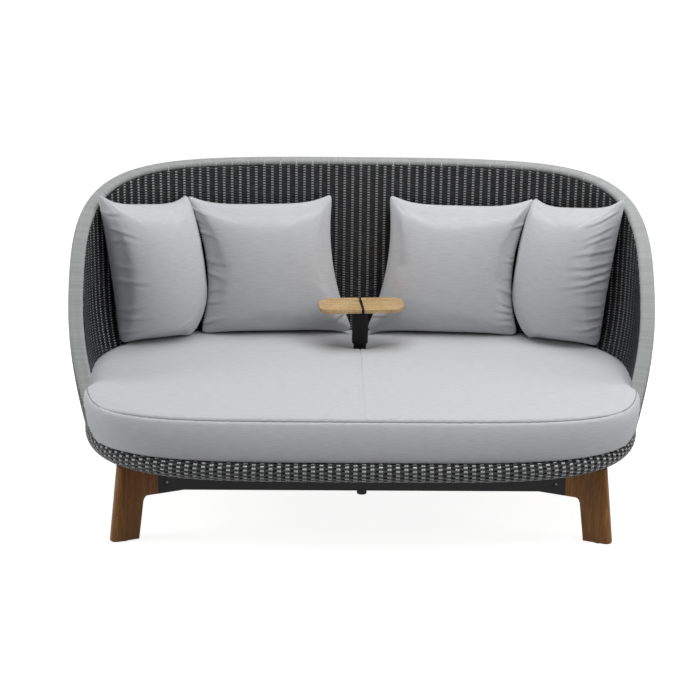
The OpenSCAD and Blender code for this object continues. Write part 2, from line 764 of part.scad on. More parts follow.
// A leaf on the right of the slot, with its front and rear outer radius
module leaf(r0, r1) {
    difference() {
        translate([0, 0, table_z - leaf_t]) linear_extrude(leaf_t) polygon(leaf_outline(r0, r1));
        translate([0, -cross_w / 2 - touch, table_z - leaf_t - 1])
            cube([cross_l / 2 + touch, cross_w + 2 * touch, leaf_t + 2]);
        for (x = screw_x, y = screw_y)
            translate([x, y, table_z - leaf_t - 1])
                cylinder(r = screw_r + hole_gap, h = screw_depth + 1 + hole_gap, $fn = 32);
    }
}
module leaf_left() {
    color(pale_teak_color) table_place() mirror([1, 0, 0]) leaf(leaf_tight_r, leaf_soft_r);
}
module leaf_right() {
    color(pale_teak_color) table_place() leaf(leaf_soft_r, leaf_tight_r);
}
module table_screws() {
    plate_z = table_z - leaf_t - plate_t;
    color(metal_color)
        table_place()
            for (side = [-1, 1], x = screw_x, y = screw_y)
                translate([side * x, y, plate_z - screw_head_h]) {
                    cylinder(r = screw_r, h = screw_head_h + plate_t + screw_depth, $fn = 32);
                    cylinder(r = screw_r * 2, h = screw_head_h, $fn = 32);
                }
}

// Seat cushion: one boxed pad, held between the wings and free in front of them
seat_half_w = overall_w / 2 - seat_side_inset;
seat_front = wide_y - front_y - seat_front_inset;
seat_square_y = 3;
seat_low_square_x = 4.3;
seat_top_square_x = 6;
function inner_limit(q, z) = let (p = shell_point(q, z, -skin_out - seat_gap)) [p[0], p[1]];
function free_square_x(f) = mix(seat_low_square_x, seat_top_square_x, f);
function free_reach(f, bulge) = seat_front - seat_set_back * f + seat_bulge * bulge;
function free_y(q, f, bulge) =
    wide_y - free_reach(f, bulge) * quarter(2 - abs(q), free_square_x(f), seat_square_y)[1];
function free_x(y, f, bulge) =
    let (s = clamp01((wide_y - y) / free_reach(f, bulge)))
    (seat_half_w + seat_side_bulge * bulge) * pow(1 - pow(s, seat_square_y), 1 / free_square_x(f));
// Where the rim of a wing comes down to a height, and how the cushion widens in front of it
function wing_y(z) =
    back_y - band_w / 2 - (wing_reach - band_w / 2) * pow(max(0, (rim_z - z) / tip_drop), 1 / wing_curve);
free_start = 27;
free_run = 42;
function smooth(s) = let (t = clamp01(s)) t * t * (3 - 2 * t);
function seat_outline(q, z) =
    let (
        f = clamp01((z - seat_base) / seat_boxing),
        limit = inner_limit(q, z),
        bulge = pow(sin(180 * f), 0.6),
        y = mix(limit[1], free_y(q, f, bulge), smooth((abs(q) - 1.25) / 0.35)),
        share = smooth((min(wing_y(z), wide_y) - free_start - y) / free_run)
    )
    abs(q) <= 1 ? limit : [mix(limit[0], sign(q) * free_x(y, f, bulge), share), y];
// Height of the crowned top, level along a stretch that the scatter cushions stand on
crown_past_side = 60;
crown_past_back = 97.5;
crown_x = overall_w / 2 + crown_past_side;
crown_y = overall_d / 2 + crown_past_back;
function crown_side(s) = sqrt(1 - pow(min(1, abs(s)), 4));
function seat_top(x, y) =
    seat_seam + seat_crown * crown_side(x / crown_x) * crown_side((y - seat_mid_y) / crown_y);
seat_q_half = concat(
    [for (i = [1 : 11]) i / 11],
    [for (i = [1 : 2]) 1 + i * 0.06],
    [for (i = [1 : 13]) 1.12 + i * 0.02],
    [for (i = [1 : 8]) 1.38 + i * 0.069]
);
seat_q = concat([2], reversed(seat_q_half), [0], [for (q = seat_q_half) -q]);
function seat_ring(z, shrink) = [
    for (q = seat_q)
        let (p = seat_outline(q, z)) [p[0] * shrink, seat_mid_y + (p[1] - seat_mid_y) * shrink, z]
];
seat_levels = [0, 0.06, 0.2, 0.4, 0.6, 0.8, 0.94, 1];
seat_shares = [0.988, 0.965, 0.92, 0.78, 0.5, 0.25];
seat_edge_shares = 0.08;
module seat_form() {
    sides = [for (f = seat_levels) seat_ring(seat_base + seat_boxing * f, f == 0 ? seat_shares[0] : 1)];
    top = [
        for (s = seat_shares)
            let (rise = sqrt(1 - pow(1 - min(1, (1 - s) / seat_edge_shares), 2)))
            [for (p = seat_ring(seat_seam, s)) [p[0], p[1], mix(seat_seam, seat_top(p[0], p[1]), rise)]]
    ];
    rings = concat(sides, top);
    k = len(seat_q);
    n = len(rings);
    fans = [
        for (j = [0 : k - 1])
            each [[j, (j + 1) % k, n * k], [(n - 1) * k + (j + 1) % k, (n - 1) * k + j, n * k + 1]]
    ];
    points = concat(flat(rings), [[0, seat_mid_y, seat_base], [0, seat_mid_y, seat_top(0, seat_mid_y)]]);
    polyhedron(points, concat(ring_faces(n, k, false), fans), convexity = 6);
}
module seat_cushion() {
    color(fabric_color)
        difference() {
            seat_form();
            translate([0, post_y, seat_base - 1])
                cylinder(r = seat_hole_r, h = seat_boxing + seat_crown + 2, $fn = 64);
            translate([-seat_slit_w / 2, post_y, seat_base - 1])
                cube([seat_slit_w, back_y - post_y, seat_boxing + seat_crown + 2]);
        }
}

// Scatter cushion: a puffed slab on a slanted, twisted seam. u runs across, v up
scatter_n = 8;
scatter_seam_t = 3;
scatter_draw = 0.09;
scatter_foot_draw = 0.03;
outer_side_bulge = 0.18;
outer_wall_bulge = 0.06;
pair_w = overall_w / 2 - scatter_side_gap - scatter_center_gap + scatter_lap;
inner_w = pair_w * inner_share;
outer_w = pair_w - inner_w;
inner_x = scatter_center_gap + inner_w / 2;
outer_x = overall_w / 2 - scatter_side_gap - outer_w / 2;
outer_y = back_y - outer_from_back;
// Foot and top as [x, y, width, turn], then thickness in front and behind, draw of the side
// towards the middle and of the other side, and rise of the outer top corner
inner_form = [
    [inner_x, back_y - inner_from_back, inner_w, -inner_turn],
    [inner_x + inner_slant, back_y - inner_from_back + inner_lean, inner_w - inner_taper, -inner_turn],
    inner_t, inner_back_t, scatter_draw, scatter_draw, 0
];
outer_form = [
    [outer_x, outer_y, outer_w, -outer_turn],
    [outer_x + outer_slant, outer_y - outer_forward, outer_w + outer_widening, -outer_top_turn],
    outer_t, outer_back_t, -outer_side_bulge, -outer_wall_bulge, outer_rise
];
function scatter_point(form, u, v, side) =
    let (
        run = u * (1 - form[u < 0 ? 4 : 5] * (1 - v * v) * u * u),
        rise = v * (1 - (v > 0 ? scatter_draw : scatter_foot_draw) * (1 - u * u) * v * v),
        at = mix(form[0], form[1], (rise + 1) / 2),
        puff = pow((1 - u * u) * (1 - v * v), 0.45),
        t = side * (scatter_seam_t / 2 + ((side < 0 ? form[2] : form[3]) - scatter_seam_t / 2) * puff),
        across = [cos(at[3]), sin(at[3])]
    )
    [
        at[0] + across[0] * at[2] / 2 * run - across[1] * t,
        at[1] + across[1] * at[2] / 2 * run + across[0] * t,
        scatter_h / 2 * (1 + rise) + form[6] * (1 + run) / 2 * max(0, (1 + rise) / 2)
    ];
scatter_steps = [for (i = [-scatter_n : scatter_n]) sin(90 * i / scatter_n)];
function scatter_grid(form, side) = [
    for (v = scatter_steps) [for (u = scatter_steps) scatter_point(form, u, v, side)]
];
// Rests the lowest row of the seam on the crown of the seat cushion
function scatter_rest(form) = max([
    for (u = scatter_steps, side = [-1, 1])
        let (p = scatter_point(form, u, -1, side)) seat_top(p[0], p[1]) - p[2]
]);
module scatter(form, left) {
    color(fabric_color)
        mirror([left ? 1 : 0, 0, 0])
            translate([0, 0, scatter_rest(form) + touch])
                slab(scatter_grid(form, 1), scatter_grid(form, -1));
}
module scatter_outer_left() { scatter(outer_form, true); }
module scatter_inner_left() { scatter(inner_form, true); }
module scatter_inner_right() { scatter(inner_form, false); }
module scatter_outer_right() { scatter(outer_form, false); }

rim_tubes();
rim_wrap();
outer_weave();
inner_weave();
shell_uprights();
seat_rail_tube();
woven_rail();
deck_slats();
deck_rails();
beam_risers();
front_beam();
rear_beam();
center_spine();
spine_bolt();
riser_screws();
leg_front_left();
leg_front_right();
leg_rear_left();
leg_rear_right();
leg_bolts();
foot_glides();
table_post();
post_nut();
table_plate();
leaf_left();
leaf_right();
table_screws();
pivot_washer();
seat_cushion();
scatter_outer_left();
scatter_inner_left();
scatter_inner_right();
scatter_outer_right();
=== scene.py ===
"""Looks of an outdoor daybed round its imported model. Everything is in metres."""

import math

import bmesh
import bpy
import numpy as np
from mathutils import Euler, Matrix, Vector


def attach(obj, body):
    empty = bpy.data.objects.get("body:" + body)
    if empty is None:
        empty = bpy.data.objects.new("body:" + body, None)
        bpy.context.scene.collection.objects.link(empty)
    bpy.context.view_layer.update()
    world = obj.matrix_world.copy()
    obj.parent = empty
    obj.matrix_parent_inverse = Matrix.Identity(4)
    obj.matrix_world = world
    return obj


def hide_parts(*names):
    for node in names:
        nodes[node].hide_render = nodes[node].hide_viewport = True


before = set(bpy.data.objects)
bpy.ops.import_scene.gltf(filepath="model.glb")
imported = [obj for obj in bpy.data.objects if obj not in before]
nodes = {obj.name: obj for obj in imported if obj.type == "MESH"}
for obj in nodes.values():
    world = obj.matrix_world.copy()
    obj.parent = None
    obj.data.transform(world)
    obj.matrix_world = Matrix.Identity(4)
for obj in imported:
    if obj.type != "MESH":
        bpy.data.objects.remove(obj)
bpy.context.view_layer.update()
scene = bpy.context.scene

# Rim: two charcoal tubes side by side, bent round the back and down the wings, and wound
# tightly with one light grey outdoor cord. The cord's ends are glued, and hidden where the
# band runs down into the woven seat rail.
WIDTH = 1.980
DEPTH = 1.085
TOP = 1.100
# Heights of the seat rail and of the widest place, and how far that one is from the back
RAIL_Z = 0.302
WIDE_Z = 0.690
WIDE_FROM_BACK = 0.515
# How far the shell is drawn in on the seat rail, at each side and behind
SIDE_INSET = 0.050
BACK_INSET = 0.012
# Exponents of the plan's superellipses for x and y: behind the widest place, and in front of it
# on the seat rail and at the widest height
BACK_SQUARE = (3.05, 2.5)
RAIL_SQUARE = (4.4, 2.6)
WING_SQUARE = (3.5, 2.3)
WING_REACH = 0.810
BAND_W = 0.050
BAND_T = 0.024
APRON_W = 0.052
APRON_H = 0.062
TIP_H = 0.010
BACK_Y = DEPTH / 2
WIDE_Y = BACK_Y - WIDE_FROM_BACK
RAIL_TOP = RAIL_Z + APRON_H / 2
RIM_Z = TOP - BAND_T / 2
TIP_DROP = RIM_Z - RAIL_TOP - TIP_H
FRONT_REACH = WIDE_Y + DEPTH / 2 - APRON_W / 2
Q_STEP = 0.004
FINE = 4001


def flare(z):
    """How far the shell has widened at height z: 0 on the seat rail, 1 at the widest height."""
    return 1 - (1 - np.clip((z - RAIL_TOP) / (WIDE_Z - RAIL_TOP), 0, 1)) ** 2


def mix(a, b, f):
    """The value a share f of the way from a to b."""
    return a + (b - a) * f


def quarter(t, n, m):
    """A quarter of a superellipse with exponents n and m, walked evenly: the angle grows as
    t^(n/2) over t^(n/2) + (1 - t)^(m/2), and sine and cosine are raised to 2/n and 2/m."""
    t = np.clip(t, 0, 1)
    p, r = t ** (n / 2), (1 - t) ** (m / 2)
    a = math.pi / 2 * p / (p + r)
    return np.sin(a) ** (2 / n), np.clip(np.cos(a), 0, 1) ** (2 / m)


def plan(q, z):
    """Middle surface of the shell in plan at height z: q is 0 at the back, 1 at the widest
    point and 2 at the front, negative on the left. Returns x and y."""
    q, z = np.broadcast_arrays(np.asarray(q, float), np.asarray(z, float))
    f, back = flare(z), abs(q) <= 1
    n = np.where(back, BACK_SQUARE[0], mix(RAIL_SQUARE[0], WING_SQUARE[0], f))
    m = np.where(back, BACK_SQUARE[1], mix(RAIL_SQUARE[1], WING_SQUARE[1], f))
    across, along = quarter(np.where(back, abs(q), 2 - abs(q)), n, m)
    half = WIDTH / 2 - BAND_W / 2 - SIDE_INSET * (1 - f)
    behind = WIDE_FROM_BACK - BAND_W / 2 - BACK_INSET * (1 - f)
    return np.sign(q) * half * across, WIDE_Y + np.where(back, behind, -FRONT_REACH) * along


def shell(q, z, u):
    """Points of the shell: its middle surface at q and height z, moved u outwards."""
    q, z, u = np.broadcast_arrays(*(np.asarray(v, float) for v in (q, z, u)))
    x1, y1 = plan(np.minimum(q + Q_STEP, 2), z)
    x0, y0 = plan(np.maximum(q - Q_STEP, -2), z)
    size = np.hypot(x1 - x0, y1 - y0)
    x, y = plan(q, z)
    return np.stack([x - (y1 - y0) / size * u, y + (x1 - x0) / size * u, z], -1)


def rim_height(q):
    """Height of the middle of the rim: it falls as the square of the way to the front."""
    way = (BACK_Y - BAND_W / 2 - plan(q, WIDE_Z)[1]) / (WING_REACH - BAND_W / 2)
    return RIM_Z - TIP_DROP * np.maximum(0, way) ** 2


def rim_frames(q):
    """Middle of the rim at q, with three unit vectors: along the rim, outwards, and up out of
    the shell's edge, which is the cross product of the first two."""
    at = shell(q, rim_height(q), 0)
    run = shell(q + Q_STEP, rim_height(q + Q_STEP), 0) - shell(q - Q_STEP, rim_height(q - Q_STEP), 0)
    run /= np.linalg.norm(run, axis=-1, keepdims=True)
    out = shell(q, rim_height(q), 1) - at
    up = np.cross(run, out)
    return at, run, out, up / np.linalg.norm(up, axis=-1, keepdims=True)


def even_run(points, step):
    """Places along a line of points about one step apart, as shares of its samples."""
    run = np.r_[0, np.cumsum(np.linalg.norm(np.diff(points, axis=0), axis=1))]
    places = np.linspace(0, run[-1], max(2, int(round(run[-1] / step)) + 1))
    return np.interp(places, run, np.linspace(0, 1, len(points))), places


def grid_faces(rows, cols, loop_rows=False, loop_cols=False, start=0):
    """Quads of a grid of points, which may close on itself either way."""
    i = np.arange(rows if loop_rows else rows - 1)[:, None]
    j = np.arange(cols if loop_cols else cols - 1)[None, :]
    a, b = i * cols + j, i * cols + (j + 1) % cols
    c, d = (i + 1) % rows * cols + (j + 1) % cols, (i + 1) % rows * cols + j
    return np.stack([a, b, c, d], -1).reshape(-1, 4) + start


def make_piece(name, points, quads, uv=None, caps=()):
    """A closed mesh object from arrays of points, quads and caps, which are equally long rows
    of point numbers. Its faces point outwards: where the sum of their wedges' volumes is
    negative, they are turned. uv holds a place on the UV map for each point."""
    points, quads = np.asarray(points, float).reshape(-1, 3), np.asarray(quads, int)
    caps = np.asarray(caps, int).reshape(len(caps), -1 if len(caps) else 0)
    a, b, c, d = (points[quads[:, i]] for i in range(4))
    if np.sum(np.cross(b - a, c - a) * a) + np.sum(np.cross(c - a, d - a) * a) < 0:
        quads, caps = quads[:, ::-1], caps[:, ::-1]
    corners = np.r_[quads.ravel(), caps.ravel()]
    sizes = np.r_[np.full(len(quads), 4), np.full(len(caps), caps.shape[1])].astype(int)
    mesh = bpy.data.meshes.new(name)
    mesh.vertices.add(len(points))
    mesh.vertices.foreach_set("co", points.ravel())
    mesh.loops.add(len(corners))
    mesh.loops.foreach_set("vertex_index", corners)
    mesh.polygons.add(len(sizes))
    mesh.polygons.foreach_set("loop_start", np.r_[0, np.cumsum(sizes)[:-1]].astype(int))
    mesh.polygons.foreach_set("use_smooth", np.ones(len(sizes), bool))
    mesh.update(calc_edges=True)
    if uv is not None:
        layer = mesh.uv_layers.new(name="UVMap")
        layer.data.foreach_set("uv", np.asarray(uv, float).reshape(-1, 2)[corners].ravel())
    piece = bpy.data.objects.new(name, mesh)
    scene.collection.objects.link(piece)
    return piece


def dress(piece, finish, body, node):
    """Gives a piece its finish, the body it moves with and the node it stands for."""
    piece.data.materials.append(finish)
    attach(piece, body)
    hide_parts(node)


def linear(code):
    """A colour written as sRGB hex, turned to linear red, green, blue and alpha."""
    value = np.array([int(code[i : i + 2], 16) / 255 for i in (1, 3, 5)])
    return (*np.where(value <= 0.04045, value / 12.92, ((value + 0.055) / 1.055) ** 2.4), 1.0)


def add(tree, kind, inputs=(), **settings):
    """Adds a node with its settings. inputs maps a socket to a value, or to a socket to link."""
    node = tree.nodes.new(kind)
    for key, value in settings.items():
        setattr(node, key, value)
    for key, value in dict(inputs).items():
        if isinstance(value, bpy.types.NodeSocket):
            tree.links.new(value, node.inputs[key])
        else:
            node.inputs[key].default_value = value
    return node


def new_finish(name, **shader):
    """A material with one Principled shader, whose plain values are set on its own sockets."""
    finish = bpy.data.materials.new(name)
    finish.use_nodes = True
    tree = finish.node_tree
    tree.nodes.clear()
    body = add(tree, "ShaderNodeBsdfPrincipled", {k.replace("_", " "): v for k, v in shader.items()})
    add(tree, "ShaderNodeOutputMaterial", {"Surface": body.outputs[0]})
    return finish, tree, body


def ramp(tree, factor, stops):
    """A colour ramp from pairs of a place and an sRGB hex colour. Returns its colour."""
    node = add(tree, "ShaderNodeValToRGB", {0: factor})
    while len(node.color_ramp.elements) < len(stops):
        node.color_ramp.elements.new(0.5)
    for element, (place, code) in zip(node.color_ramp.elements, stops):
        element.position, element.color = place, linear(code)
    return node.outputs[0]


CORD_PITCH = 0.0047
CORD_DIP = 0.0011
CORD_SAG = 0.0022
TUBE_U = (BAND_W - BAND_T) / 2

# The rim ends at the q where a wing has reached its full length
way = np.linspace(1.9, 1, FINE)
tip_q = np.interp(BACK_Y - WING_REACH, plan(way, WIDE_Z)[1], way)
share, rim_run = even_run(rim_frames(np.linspace(-tip_q, tip_q, FINE))[0], CORD_PITCH / 4)
rim_q = mix(-tip_q, tip_q, share)
# Section of the band and its outward direction: half circles round both tubes, joined by two
# faces where the cord sags between them
arc = np.linspace(-math.pi / 2, math.pi / 2, 8)
flat_u = np.linspace(TUBE_U, -TUBE_U, 5)[1:-1]
sag = CORD_SAG * np.cos(flat_u / TUBE_U * math.pi / 2) ** 2
zero = 0 * flat_u
band_u = np.r_[TUBE_U + BAND_T / 2 * np.cos(arc), flat_u, -TUBE_U - BAND_T / 2 * np.cos(arc), -flat_u]
band_v = np.r_[BAND_T / 2 * np.sin(arc), BAND_T / 2 - sag, -BAND_T / 2 * np.sin(arc), sag - BAND_T / 2]
face_u = np.r_[np.cos(arc), zero, -np.cos(arc), zero]
face_v = np.r_[np.sin(arc), zero + 1, -np.sin(arc), zero - 1]
around = np.r_[0, np.cumsum(np.hypot(np.diff(band_u), np.diff(band_v)))]
# The groove between two turns of cord winds once round the band for each turn
turns = rim_run[:, None] / CORD_PITCH + around[None, :] / around[-1]
groove = CORD_DIP * (0.5 + 0.5 * np.cos(2 * math.pi * turns)) ** 1.5
at, run, out, up = rim_frames(rim_q)
rim_points = (
    at[:, None]
    + out[:, None] * (band_u - groove * face_u)[..., None]
    + up[:, None] * (band_v - groove * face_v)[..., None]
)
k = len(band_u)
rim_cord = make_piece(
    "rim_cord",
    rim_points,
    grid_faces(len(rim_q), k, loop_cols=True),
    uv=np.stack(np.broadcast_arrays(turns, around[None, :]), -1),
    caps=[np.arange(k)[::-1], (len(rim_q) - 1) * k + np.arange(k)],
)

# Wound polyolefin cord: soft and dry, one tone, with the least difference from turn to turn
cord_finish, tree, body = new_finish("wound_outdoor_cord", Roughness=0.85, IOR=1.49)
uv = add(tree, "ShaderNodeUVMap", uv_map="UVMap")
parts = add(tree, "ShaderNodeSeparateXYZ", {0: uv.outputs[0]})
turn = add(tree, "ShaderNodeMath", {0: parts.outputs[0]}, operation="FLOOR")
shade = add(tree, "ShaderNodeTexWhiteNoise", {"W": turn.outputs[0]}, noise_dimensions="1D")
tone = ramp(tree, shade.outputs[0], [(0, "#9b9c9c"), (0.5, "#a0a1a1"), (1, "#a5a6a6")])
tree.links.new(tone, body.inputs["Base Color"])
dress(rim_cord, cord_finish, "frame", "rim_wrap")

# Shell: two woven skins with the tubes between them. Flat graphite strands run round the
# shell, row on row. Double light grey strands run up it, and go over and under the rows in
# turn, so they show as columns of pale dashes, which change places from column to column.
ROW = 0.0047
COLUMN = 0.0288
SKIN_U = 0.021
SKIN_BASE = 0.3237
STRAND_T = 0.0008
STRAND_DEEP = 0.0040
STRAND_LEAN = 0.0018
SWING = 0.0024
LIFT = 0.0016
PALE_W = 0.0092
PALE_T = 0.0007
UNDER_CORD = 0.0098
# Edges of a dark strand as shares of a row: its face leaves a gap, and its back overlaps
STRAND_EDGES = np.array([0.42, -0.42, -0.56, 0.56])
# Section of a pale pair: two rounded strands side by side, across it and out of it
PAIR_ACROSS = np.array([1, 0.5, 0, -0.5, -1])
PAIR_OUT = np.array([1, 2, 1.2, 2, 1])
# A dark strand passes a pale column level, from the first share of the spacing before it to
# the second after it, and crosses over on the rest of the way. From OWN before a column on,
# a place counts as that column's.
CROSSING = np.array([-0.2, 0.58])
OWN = 0.22

ends = np.linspace(0, tip_q, 2001)
at, run, out, up = rim_frames(ends)
skin_tops = rim_height(ends) - UNDER_CORD / np.maximum(0.3, np.hypot(run[:, 0], run[:, 1]))
skin_rows = np.arange(SKIN_BASE + ROW / 2, skin_tops.max(), ROW)


def tube_piece(name, strands):
    """One piece from strands, each an array of rings of points, with flat ends."""
    sizes = np.array([len(s) for s in strands])
    k = strands[0].shape[1]
    starts = np.r_[0, np.cumsum(sizes * k)[:-1]]
    quads = np.concatenate([grid_faces(n, k, loop_cols=True, start=s) for n, s in zip(sizes, starts)])
    first = starts[:, None] + np.arange(k)[::-1]
    last = (starts + (sizes - 1) * k)[:, None] + np.arange(k)
    points = np.concatenate([s.reshape(-1, 3) for s in strands])
    return make_piece(name, points, quads, caps=np.concatenate([first, last]))


def weft_swing(place, row):
    """How far a dark strand is out at a place counted in columns: under one pale column and
    over the next, and the other way round in the next row."""
    return -SWING * np.cos(math.pi * (np.floor(place + OWN) + row))


def warp_lift(column, row):
    """How far a pale strand is out at a row, as the cosine of its number and the column's."""
    return LIFT * np.cos(math.pi * (column + row))


def weft_strand(row, z, q_columns, side):
    """A dark strand at height z: a flat strip that passes over one pale column and under the
    next, with its face turned down where it is out and up where it is in."""
    q_end = np.interp(z, skin_tops[::-1], ends[::-1])
    places = (np.arange(len(q_columns))[:, None] + CROSSING).ravel()
    q = np.interp(places, np.arange(len(q_columns)), q_columns)
    q = np.r_[-q_end, q[abs(q) < q_end - 1e-4], q_end]
    place = np.interp(q, q_columns, np.arange(len(q_columns)))
    swing = weft_swing(place, row)
    z_ring = z + ROW * STRAND_EDGES
    lean = STRAND_LEAN * (0.1 + 0.9 * swing / SWING)
    back = 0 * swing - STRAND_DEEP
    u_ring = np.stack([STRAND_T - lean, STRAND_T + lean, back, back], -1) + swing[:, None]
    return shell(q[:, None], z_ring, side * (SKIN_U + u_ring))


def warp_strand(column, q_columns, side):
    """A pale double strand up one column, over one row and under the next."""
    q = q_columns[column]
    rows = skin_rows[skin_rows < np.interp(abs(q), ends, skin_tops)]
    lift = warp_lift(column, np.arange(len(rows)))
    q_per_metre = (q_columns[column + 1] - q_columns[column - 1]) / (2 * COLUMN)
    u_ring = PALE_T * PAIR_OUT + lift[:, None]
    return shell(q + PALE_W / 2 * PAIR_ACROSS * q_per_metre, rows[:, None], side * (SKIN_U + u_ring))


def emboss(tree, body, height, strength, distance):
    """Gives a shader a fine relief from a height between 0 and 1."""
    relief = add(tree, "ShaderNodeBump", {"Strength": strength, "Distance": distance, "Height": height})
    tree.links.new(relief.outputs[0], body.inputs["Normal"])


def mottled(name, per_metre, stops, detail=2, relief=None, **shader):
    """A finish whose colour follows a noise with so many swells to the metre, and so does its
    relief, where a strength and a distance are given for one."""
    finish, tree, body = new_finish(name, **shader)
    place = add(tree, "ShaderNodeTexCoord").outputs["Object"]
    noise = add(tree, "ShaderNodeTexNoise", {"Vector": place, "Scale": per_metre, "Detail": detail})
    tree.links.new(ramp(tree, noise.outputs[0], stops), body.inputs["Base Color"])
    if relief:
        emboss(tree, body, noise.outputs[0], *relief)
    return finish


# Extruded polyethylene strand, slightly glossy and a little uneven in tone: graphite, and the
# same in light grey
dark_finish = mottled(
    "graphite_strand", 90, [(0.3, "#1f2022"), (0.55, "#2a2b2d"), (0.75, "#444548")],
    Roughness=0.42, IOR=1.51,
)
pale_finish = mottled(
    "light_grey_strand", 120, [(0.3, "#c0c1c1"), (0.7, "#d8d8d7")], Roughness=0.5, IOR=1.51
)

for skin, side in (("outer", 1), ("inner", -1)):
    skin_line = shell(np.linspace(-tip_q, tip_q, FINE), WIDE_Z, SKIN_U * side)
    q_columns = mix(-tip_q, tip_q, even_run(skin_line, COLUMN)[0])
    wefts = [weft_strand(row, z, q_columns, side) for row, z in enumerate(skin_rows)]
    half = len(wefts) // 2
    warps = [warp_strand(c, q_columns, side) for c in range(1, len(q_columns) - 1)]
    warps = [w for w in warps if len(w) > 2]
    for part, strands, finish in (
        ("_weft_low", wefts[:half], dark_finish),
        ("_weft_high", wefts[half:], dark_finish),
        ("_warp", warps, pale_finish),
    ):
        dress(tube_piece(skin + part, strands), finish, "frame", skin + "_weave")

# Ties: every second pale pair is hitched round the inner tube, and its loop shows as a small
# light tick over the inner edge of the wound band.
TIE_HALF_W = 0.0017
TIE_R = BAND_T / 2 + 0.0006
TIE_FROM = math.radians(262)
TIE_TO = math.radians(165)
tie_angles = np.linspace(TIE_FROM, TIE_TO, 9)
tie_q = q_columns[2:-2:2]
at, run, out, up = (v[:, None, None] for v in rim_frames(tie_q))
across = TIE_HALF_W * np.array([1, 0, -1, 0])[None, None, :, None]
radius = (TIE_R + PALE_T * np.array([0, 1, 0, -1]))[None, None, :, None]
angle = tie_angles[None, :, None, None]
ties = at + run * across + out * (radius * np.cos(angle) - TUBE_U) + up * radius * np.sin(angle)
tie_finish = mottled(
    "light_tie_strand", 120, [(0.3, "#c4c5c4"), (0.7, "#d4d4d2")], Roughness=0.6, IOR=1.51
)
dress(tube_piece("rim_ties", list(ties)), tie_finish, "frame", "rim_wrap")

# Seat rail: the same weave, rolled round a tube that runs all round the seat. Its strands
# are further apart than those of the shell, and its pale pairs are wider.
RAIL_ROW = 0.0075
RAIL_COLUMN = 0.027
RAIL_OPEN = math.radians(120)
STRAND_DEPTH = 0.0032
RAIL_PALE_W = 0.0128
RAIL_EDGES = np.array([0.44, -0.44, -0.56, 0.56])
RAIL_PAIR_ACROSS = np.array([1, 0.52, 0, -0.52, -1])
RAIL_PAIR_OUT = np.array([1, 2, 0.8, 2, 1])
# The columns close all round, so they are evened out to an even number of them
share, run = even_run(shell(np.linspace(-2, 2, 2 * FINE - 1), RAIL_Z, APRON_W / 2), RAIL_COLUMN)
rail_count = (len(share) - 1) // 2 * 2
rail_columns = np.interp(
    np.linspace(0, 1, rail_count + 1), np.linspace(0, 1, len(share)), mix(-2, 2, share)
)


def rolled(q, angle, depth):
    """A point of the rail: on its oval section at an angle, a depth inside its surface."""
    point = shell(q, RAIL_Z, (APRON_W / 2 - depth) * np.cos(angle))
    point[..., 2] += (APRON_H / 2 - depth) * np.sin(angle)
    return point


section = np.linspace(-RAIL_OPEN, RAIL_OPEN, 400)
oval = np.stack([APRON_W / 2 * np.cos(section), APRON_H / 2 * np.sin(section)], -1)
angles = mix(-RAIL_OPEN, RAIL_OPEN, even_run(oval, RAIL_ROW)[0])
rows = np.arange(len(angles))
# Dark strands: closed rings, each round the whole rail
places = (np.arange(rail_count)[:, None] + CROSSING).ravel()
q = np.interp(places, np.arange(rail_count + 1), rail_columns)[None, :, None]
swing = weft_swing(places, rows[:, None])
angle = angles[:, None, None] + (angles[1] - angles[0]) * RAIL_EDGES
sunk = STRAND_DEPTH + np.array([-STRAND_T, -STRAND_T, STRAND_DEEP, STRAND_DEEP])
rings = rolled(q, angle, sunk - swing[..., None])
size = rings[0].size // 3
quads = [grid_faces(len(places), 4, loop_rows=True, loop_cols=True, start=row * size) for row in rows]
rail_weft = make_piece("rail_weft", rings, np.concatenate(quads))
dress(rail_weft, dark_finish, "frame", "woven_rail")
# Pale strands: each up the outside of the rail, from its underside to its top
lift = warp_lift(np.arange(rail_count)[:, None], rows)
q_per_metre = (rail_columns[1:] - rail_columns[:-1])[:, None, None] / RAIL_COLUMN
q = (rail_columns[:-1, None, None] + RAIL_PALE_W / 2 * RAIL_PAIR_ACROSS * q_per_metre + 2) % 4 - 2
depth = STRAND_DEPTH - lift[..., None] - PALE_T * RAIL_PAIR_OUT
rail_warp = tube_piece("rail_warp", list(rolled(q, angles[:, None], depth)))
dress(rail_warp, pale_finish, "frame", "woven_rail")

# Seat cushion: one boxed block of foam in a light grey woven cover. It goes round the post
# through a slit behind it. The top panel is sewn to the boxing, and a seam runs to the front.
SEAT_BASE = RAIL_TOP + 0.0003
BOXING = 0.130
CROWN = 0.016
SEAT_MID = -0.010
SEAT_SEAM = SEAT_BASE + BOXING
SEAT_GAP = 0.005
SKIN_OUT = 0.023
POST_Y = BACK_Y - 0.242
HOLE_R = 0.030
SLIT_W = 0.008
SEAM_DIP = 0.0016
SEAM_HALF_W = 0.0019
WELT = 0.0012
SEAT_COLUMNS = 205
SEAT_ROWS = 34
# Places of the rows beside the outline and the hole, as distances from them
NEAR_OUTLINE = np.array([0, 0.0012, 0.0024, 0.004, 0.006, 0.009, 0.013, 0.018, 0.025, 0.034, 0.045])
NEAR_HOLE = np.array([0.020, 0.013, 0.008, 0.004, 0.0015, 0])
# Rings of the boxing, as shares of its height
LEVELS = np.array([0.03, 0.08, 0.16, 0.27, 0.39, 0.51, 0.63, 0.74, 0.83, 0.9, 0.945, 0.97, 0.985])
# In front of the wings: how far the cushion reaches to the front and to each side at its foot,
# how much less at its top seam, and how much more between its seams
SEAT_REACH, REACH_LEAN, REACH_BULGE = 0.540, 0.027, 0.014
SEAT_HALF, HALF_LEAN, HALF_BULGE = 0.936, 0.017, 0.020
